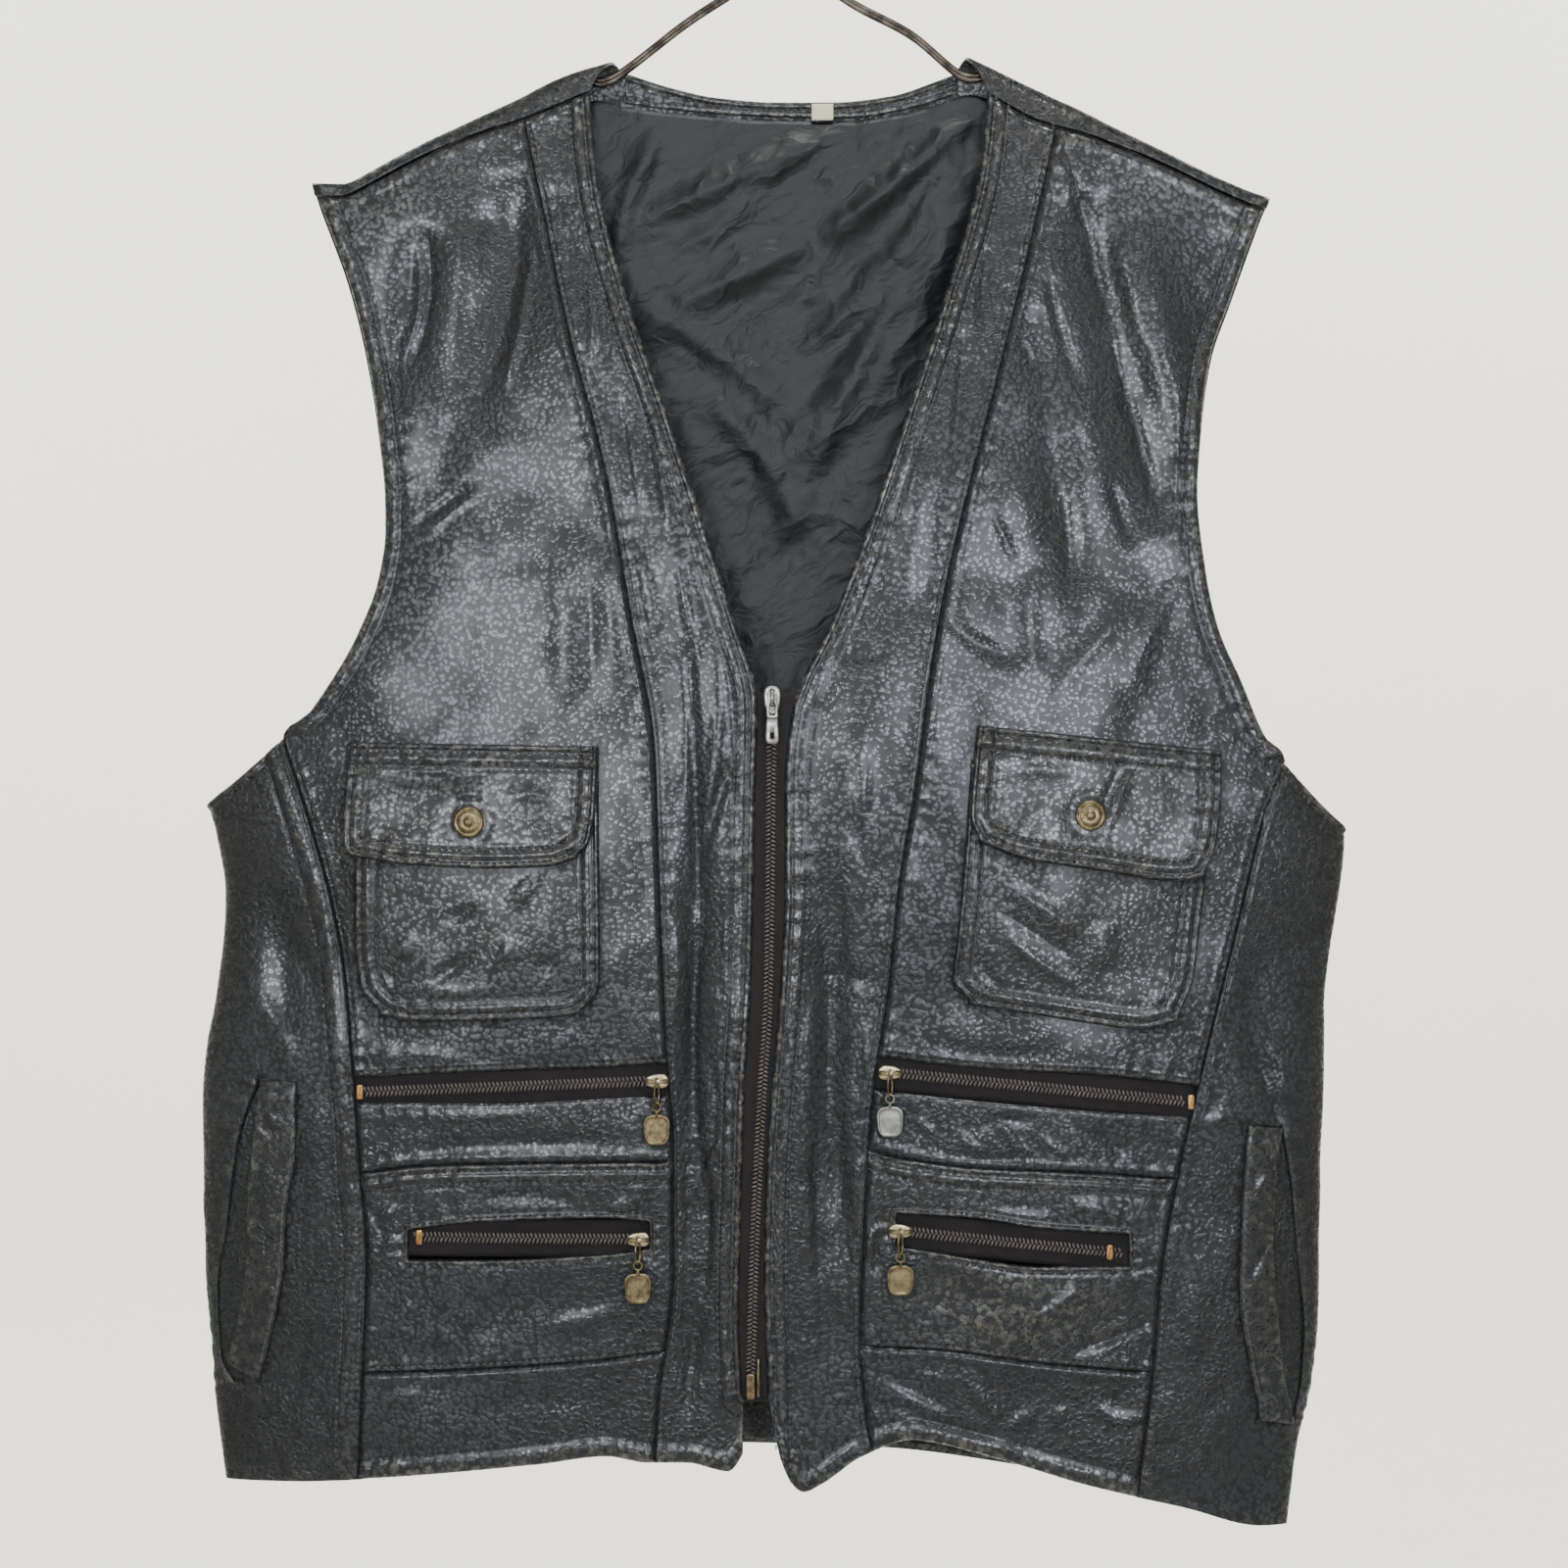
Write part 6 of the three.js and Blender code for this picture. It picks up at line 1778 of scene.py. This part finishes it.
lo, hi, centre, seat = millimetres("main_zip_slider")
plate = cushion(rounded(9.0, 6.4, 7.0, -7.0, 3.0), hi[1], hi[1] - 2.6, 0.8)
nose = cushion(rounded(5.0, 3.6, 5.4, -4.8, 2.6), hi[1] - 2.4, hi[1] - 3.1, 0.5)
t = np.linspace(0, 1, 25)
arch = np.column_stack([0 * t, hi[1] - 2.2 - (np.sin(math.pi * t) ** 0.5) * 3.05, 5.0 - 7.8 * t])
strap = tube(arch, 0.62 + 0.2 * (2 * t - 1) ** 2, 12)
strap[0][:, 0] *= 1.5
slider = piece("main_zip_slider_cast", *together(*[moved(p, seat) for p in (plate, nose, strap)]),
               ZINC)
stands_for(slider, "main_zip_slider")

lo, hi, centre, seat = millimetres("main_zip_pull")
pivot = (centre[0], centre[1], hi[2] - 0.6)
window = flat_ring(rounded(5.2, 5.6, 0.7, -8.4, 5.0), rounded(3.0, 2.6, -0.75, -6.4, 4.0), 1.15, 0.22)
grip = flat_ring(rounded(5.5, 6.6, -7.2, -20.0, 5.0), rounded(1.5, 1.5, -14.6, -17.6, 4.0), 1.15, 0.22)
pull = piece("main_zip_pull_cast", *together(moved(window, pivot), moved(grip, pivot)), ZINC, "main_pull")
stands_for(pull, "main_zip_pull")

lo, hi, centre, seat = millimetres("main_zip_box")
box = cushion(rounded(4.2, 4.2, 6.0, -6.0, 6.0), hi[1], lo[1], 0.5)
pin = tube(np.array([[3.6, -1.0 + centre[1], 13.0], [3.6, -1.0 + centre[1], -5.0]]), 0.75, 10)
box = piece("main_zip_box_brass", *together(moved(box, seat), moved(pin, seat)),
            ANTIQUE_BRASS)
stands_for(box, "main_zip_box")

# The pocket zips' metalwork: each slider carries an arched bridge, a wire link hooked on it, and a cast
# tag that hangs from the link by its eye. The tags are blank. A folded copper crimp stops the outer end
# of each zip.

# Zinc with a pale gold flash plating, worn nearly to silver on the bridges.
PALE_BRASS = worn_metal("gold_flashed_zinc_worn_pale", "#cdbf9d", "#8f8266", 0.24, 0.004, 0.0006)
# Bright copper, bare where it was folded over the tape.
COPPER = worn_metal("folded_copper_crimp", "#d0a26c", "#9c7245", 0.26, 0.004, 0.0006)
# Pewter-coloured plating, the finish of the one tag that doesn't match the others.
PEWTER = worn_metal("pewter_plated_zinc_tag", "#8f8e88", "#72706a", 0.3, 0.004, 0.0006, 0.00006)

LINK_TURN = math.radians(60)
LINK_WIRE = 0.5
LINK_HALF = 2.4
LINK_STRAIGHT = 8.2
LINK_TOP = 1.5  # the link's highest point above the bridge's middle
FOOT = LINK_TOP - 2 * LINK_HALF - LINK_STRAIGHT
EYE_RADIUS = 2.0
EYE_Z = -0.7
TAG = {"width": 13.5, "height": 14.5, "top": EYE_Z - EYE_RADIUS - 1.6}


def wire_link():
    """A teardrop of wire round the bridge, narrow above and wide at its foot, turned half sideways."""
    t = np.linspace(0, TURN, 56, endpoint=False)
    middle = LINK_TOP - LINK_HALF - LINK_STRAIGHT / 2
    half = LINK_HALF * (0.78 - 0.22 * np.cos(t))
    across = half * np.sin(t) * (1 - 0.12 * np.cos(2 * t))
    up = middle + (LINK_HALF + LINK_STRAIGHT / 2) * np.cos(t)
    path = np.column_stack([across * math.cos(LINK_TURN), across * math.sin(LINK_TURN), up])
    return tube(path, LINK_WIRE, 10, closed=True)


def tag():
    """A shield-like tag with a raised rim round a blank sunk face, its neck and its eye."""
    outline = rounded(TAG["width"], TAG["width"] * 0.84, TAG["top"], TAG["top"] - TAG["height"], 3.4, 72)
    steps = [(0.95, 0.8), (1.0, 0.45), (1.0, -0.4), (0.965, -0.7), (0.93, -0.8), (0.86, -0.8), (0.82, -0.7),
             (0.8, -0.42), (0.76, -0.38), (0.5, -0.5), (0.2, -0.55)]
    middle = outline.mean(0)
    face = loft([at_depth(middle + (outline - middle) * share, y) for share, y in steps])
    t = TURN * np.arange(36) / 36
    ring = np.column_stack([EYE_RADIUS * np.sin(t), 0 * t, EYE_Z + EYE_RADIUS * np.cos(t)])
    eye = tube(ring, 0.5, 10, closed=True)
    neck = tube(np.array([[0, 0, EYE_Z - EYE_RADIUS + 0.1], [0, 0, TAG["top"] - 0.9]]), [0.75, 1.1], 12)
    return together(face, eye, neck)


SLIDER = {"wide": 7.5, "narrow": 5.4, "half": 5.5, "corner": 2.8, "thick": 2.4, "bevel": 0.75}
BRIDGE = {"half": 4.4, "sunk": 2.0, "rise": 3.35}

for row in ("upper", "lower"):
    for key in ("r", "l"):
        lo, hi, centre, seat = millimetres(f"{row}_slider_{key}")
        hinge = np.array([centre[0], lo[1] + 0.7, centre[2]])
        mirror = -1 if key == "l" else 1
        outline = rounded(SLIDER["wide"], SLIDER["narrow"], SLIDER["half"], -SLIDER["half"], SLIDER["corner"])
        body = cushion(outline[:, ::-1] * (mirror, 1), hi[1], hi[1] - SLIDER["thick"], SLIDER["bevel"])
        t = np.linspace(0, 1, 25)
        arch = (np.sin(math.pi * t) ** 0.6) * BRIDGE["rise"]
        along = 2 * BRIDGE["half"] * t - BRIDGE["half"]
        strap = tube(np.column_stack([along, hi[1] - BRIDGE["sunk"] - arch, 0 * t]),
                     0.7 + 0.3 * (2 * t - 1) ** 2, 12)
        strap[0][:, 2] *= 1.35
        cast = together(*[moved(p, seat) for p in (body, strap)])
        slider = piece(f"{row}_slider_cast_{key}", *cast, PALE_BRASS)
        stands_for(slider, f"{row}_slider_{key}")
        link = piece(f"{row}_link_wire_{key}", *moved(wire_link(), hinge), ANTIQUE_BRASS,
                     f"{row}_link_body_{key}")
        stands_for(link, f"{row}_link_{key}")
        finish = PEWTER if (row, key) == ("upper", "l") else ANTIQUE_BRASS
        pendant = piece(f"{row}_tag_cast_{key}", *moved(tag(), hinge + (0, 0, FOOT)), finish,
                        f"{row}_pendant_body_{key}")
        stands_for(pendant, f"{row}_pendant_{key}")
        lo, hi, centre, seat = millimetres(f"{row}_stop_{key}")
        crimp = cushion(rounded(3.2, 3.2, 3.5, -3.5, 6.0), hi[1] + 0.5, lo[1] - 0.3, 0.6)
        stop = piece(f"{row}_stop_crimp_{key}", *moved(crimp, seat), COPPER)
        stands_for(stop, f"{row}_stop_{key}")

# The back neck's facing: a narrow band of the same hide inside the neck, stitched along its lower edge
# over the lining's top.

NECK_FACING = {"x": [-80, -57, -14, 30, 58, 84], "z": [-141, -144, -147, -148, -144, -136]}
NECK_FACING_LAYER = (-2.2, -3.2)
NECK_FOOT_ROW, NECK_TOP_ROW = 2.2, 2.6
NECK_ENDS = (-78, 82)
facing_foot = by_width(NECK_FACING)


def facing_top(x):
    return back_neck(x) - 1


layout = between(level(NECK_ENDS[0]), level(NECK_ENDS[1]), facing_foot, facing_top, BACK)
edges = {"end": [(edge_line(facing_foot, *NECK_ENDS, False), "turned", (NECK_FOOT_ROW,)),
                 (edge_line(facing_top, *NECK_ENDS, False), "turned", (NECK_TOP_ROW,))]}
facing, facing_skin = sewn_panel(
    "back_neck_facing_leather", layout, cuts(160, 2.2), cuts(11, 1.2), NECK_FACING_LAYER, edges, BACK_CREASES,
    inward=True, worn=level(0.35),
)
leather_piece(facing, "back_neck_facing")
sew("back_neck_facing_stitches", facing_skin,
    [stitch_line(facing_foot, NECK_FOOT_ROW, (0, 1), -74, 78, upright=False),
     stitch_line(facing_top, NECK_TOP_ROW, (0, -1), -74, 78, upright=False)], BACK)

# The lining: charcoal polyester satin, cut a little full and sewn in all round, so it hangs in soft
# diagonal folds from the wearer's left side of the neck and is crushed into small creases.


def polyester_satin():
    """Woven satin: long smooth threads give it a soft broad sheen, and it darkens at once in its folds."""
    material, tree, where = new_material("polyester_satin_woven")
    thread = put(tree, "TexWave", {"Vector": where, "Scale": 900.0, "Distortion": 1.5}, bands_direction="Z")
    woven = put(tree, "Bump", {"Height": thread.outputs["Fac"], "Distance": 0.00004, "Strength": 0.35})
    # Sharp creases drawn out along the folds, which run down from the wearer's left of the neck
    along = {"Vector": where, "Scale": (3.2, 1.0, 1.0), "Rotation": (0.0, -0.6, 0.0)}
    drawn = put(tree, "Mapping", along, vector_type="TEXTURE")
    bent = put(tree, "TexNoise", {"Vector": where, "Scale": 22.0, "Detail": 3.0}).outputs["Color"]
    astray = put(tree, "VectorMath", {0: bent, 3: 0.04}, operation="SCALE")
    led = put(tree, "VectorMath", {0: drawn, 1: astray}, operation="ADD")
    facets = put(tree, "TexVoronoi", {"Vector": led, "Scale": 60.0})
    crush = put(tree, "TexNoise", {"Vector": led, "Scale": 160.0, "Detail": 3.0, "Distortion": 1.0})
    crush = put(tree, "Math", {0: crush, 1: 0.35, 2: facets}, operation="MULTIPLY_ADD")
    cloud = put(tree, "TexNoise", {"Vector": where, "Scale": 14.0, "Detail": 3.0})
    show(tree, {
        "Base Color": mix_colours(tree, cloud, "#0d0f11", "#15181b"),
        "Roughness": 0.45,
        "IOR": 1.5,
        "Specular IOR Level": 0.4,
        "Normal": put(tree, "Bump", {"Height": crush, "Distance": 0.0028, "Strength": 0.7, "Normal": woven}),
    })
    return material


LINING_FOLDS = [
    (90, -146, 46, -184, 12, -207, 6.0, 4.6), (14, -206, -20, -222, -56, -236, 7.0, 4.0),
    (27, -155, -20, -174, -77, -200, 6.0, 4.0), (84, -160, 52, -214, 8, -262, 7.0, 3.6),
    (86, -172, 64, -236, 30, -300, 7.5, 3.6), (72, -190, 36, -262, -12, -322, 8.0, 3.0),
    (-60, -150, -74, -180, -84, -214, 5.0, 3.2),
    (10, -150, -26, -194, -70, -216, 5.4, 2.0), (60, -220, 20, -300, -8, -360, 7.0, 2.6),
    (-70, -240, -30, -262, 10, -300, 7.0, 2.4), (-50, -280, -20, -300, 8, -350, 6.0, 2.2),
]


def lining_creases():
    """The named folds, with small creases scattered over what shows."""
    spread = np.random.default_rng(11)
    rows = list(LINING_FOLDS)
    for _ in range(70):
        x, z = spread.uniform(-88, 88), spread.uniform(-400, -152)
        length, lean = spread.uniform(9, 26), spread.normal(0.45, 0.5)
        dx, dz = length * math.cos(lean), length * math.sin(lean)
        bow = spread.uniform(-2.5, 2.5)
        rows.append((x - dx / 2, z - dz / 2, x, z + bow, x + dx / 2, z + dz / 2, spread.uniform(1.2, 2.6),
                     spread.uniform(0.3, 0.9)))
    return rows


LINING_ROWS = lining_creases()
LINING_LAYER = (-2.5, -3.0)


def lining_top(x):
    share = np.clip((np.abs(x - 1) - NECK_INNER) / (NECK_OUTER - NECK_INNER), 0, 1)
    return (facing_foot(x) - 1.8) * (1 - share) + (ridge(x) - 16) * share


layout = between(by_height(ARMHOLE_R, 6), by_height(ARMHOLE_L, -6), lambda x: back_hem(x) + 20,
                 lining_top, BACK)
across = np.concatenate([np.linspace(0, 0.24, 12), np.linspace(0.24, 0.76, 96)[1:],
                         np.linspace(0.76, 1, 12)[1:]])
upward = np.concatenate([np.linspace(0, 0.52, 30), np.linspace(0.52, 1, 130)[1:]])
lining, _ = sewn_panel("back_lining_satin", layout, across, upward, LINING_LAYER, {}, BACK_CREASES,
                       inward=True, swell=lambda x, z: 0.2 + crease_rise(LINING_ROWS, x, z),
                       material=polyester_satin())
stands_for(lining, "back_lining")

# The label: a blank cream woven tab, folded into the seam under the neck's facing.


def woven_label():
    """Cream damask-woven label: flat and dull, with fine crossing threads."""
    material, tree, where = new_material("cream_damask_woven_label")
    warp = put(tree, "TexWave", {"Vector": where, "Scale": 800.0}, bands_direction="X")
    weft = put(tree, "TexWave", {"Vector": where, "Scale": 800.0}, bands_direction="Z")
    height = put(tree, "Math", {0: warp.outputs["Fac"], 1: weft.outputs["Fac"]}, operation="ADD")
    cloud = put(tree, "TexNoise", {"Vector": where, "Scale": 200.0})
    show(tree, {
        "Base Color": mix_colours(tree, cloud, "#cfc9ab", "#ddd8bf"), "Roughness": 0.8, "IOR": 1.5,
        "Sheen Weight": 0.2,
        "Normal": put(tree, "Bump", {"Height": height, "Distance": 0.00005, "Strength": 0.5}),
    })
    return material


LABEL = {"left": 12, "right": 22.5, "foot": -149, "top": -141}
LABEL_LAYER = (-4.6, -5.1)
layout = between(*[level(LABEL[side]) for side in ("left", "right", "foot", "top")], BACK)
label, _ = sewn_panel("blank_size_label", layout, np.linspace(0, 1, 9), np.linspace(0, 1, 7), LABEL_LAYER,
                      {}, BACK_CREASES, inward=True, material=woven_label())
stands_for(label, "size_label")

# The studio: a pale seamless backdrop all round, a key light at the upper left and softer light from the
# other sides, with the camera square on to the vest's front.


def backdrop(floor=-1.75, flat=4.3, bend=0.7, top=4.0):
    """A round floor and wall in one, open above: a flat part, a bend and an upright wall."""
    profile = [(0.0, floor), (flat, floor)]
    profile += [(flat + bend * math.sin(a), floor + bend - bend * math.cos(a))
                for a in np.linspace(0.1, math.pi / 2, 10)]
    profile += [(flat + bend, top)]
    n = 64
    around = [TURN * k / n for k in range(n)]
    points = [(r * math.cos(a), r * math.sin(a), height) for r, height in profile for a in around]
    faces = ring_faces(len(profile), n, capped=False)
    mesh = bpy.data.meshes.new("backdrop")
    mesh.from_pydata(points, [], faces)
    mesh.polygons.foreach_set("use_smooth", [True] * len(faces))
    made = bpy.data.objects.new("backdrop", mesh)
    bpy.context.scene.collection.objects.link(made)
    material, tree, where = new_material("matt_studio_paper")
    cloud = put(tree, "TexNoise", {"Vector": where, "Scale": 0.8, "Detail": 2.0})
    show(tree, {"Base Color": mix_colours(tree, cloud, "#dddcd6", "#e6e5e0"), "Roughness": 0.9})
    mesh.materials.append(material)
    return made


def area_light(name, size, power, place, aim, colour):
    lamp = bpy.data.lights.new(name, "AREA")
    lamp.shape = "DISK"
    lamp.size = size
    lamp.energy = power
    lamp.color = linear(colour)[:3]
    made = bpy.data.objects.new(name, lamp)
    made.location = place
    made.rotation_euler = (Vector(aim) - Vector(place)).to_track_quat("-Z", "Y").to_euler()
    made.visible_camera = False
    bpy.context.scene.collection.objects.link(made)
    return made


MIDDLE_OF_VEST = (-0.0014, -0.012, -0.4698)
stage = [
    backdrop(), area_light("key_light", 0.45, 12.5, (-0.42, -1.9, -0.25), (-0.05, 0, -0.45), "#f1f5ff"),
    area_light("fill_light", 0.45, 12.5, (0.46, -1.9, -0.3), (0.05, 0, -0.45), "#ecf2ff"),
    area_light("top_light", 0.7, 22.0, (0.1, -0.7, 1.0), (0, 0, -0.4), "#ffffff"),
    area_light("back_light", 0.5, 16.0, (0.9, 1.5, 0.25), (0, 0, -0.45), "#f4f6ff"),
    area_light("wall_light_left", 2.0, 260.0, (-2.2, 2.0, 1.6), (0, 5.0, -0.5), "#fffdf8"),
    area_light("wall_light_right", 2.0, 260.0, (2.2, 2.0, 1.6), (0, 5.0, -0.5), "#fffdf8"),
]

world = bpy.data.worlds.new("studio_air")
world.use_nodes = True
world.node_tree.nodes["Background"].inputs["Color"].default_value = linear("#eef0f2")
world.node_tree.nodes["Background"].inputs["Strength"].default_value = 0.05
bpy.context.scene.world = world

FIELD = 0.752  # metres across the picture at the vest's front
AWAY = 2.4
lens = bpy.data.cameras.new("camera")
lens.sensor_width = 36
lens.lens = 36 * AWAY / FIELD
camera = bpy.data.objects.new("camera", lens)
camera.location = (MIDDLE_OF_VEST[0], MIDDLE_OF_VEST[1] - AWAY, MIDDLE_OF_VEST[2])
camera.rotation_euler = (math.pi / 2, 0, 0)
bpy.context.scene.collection.objects.link(camera)
bpy.context.scene.camera = camera
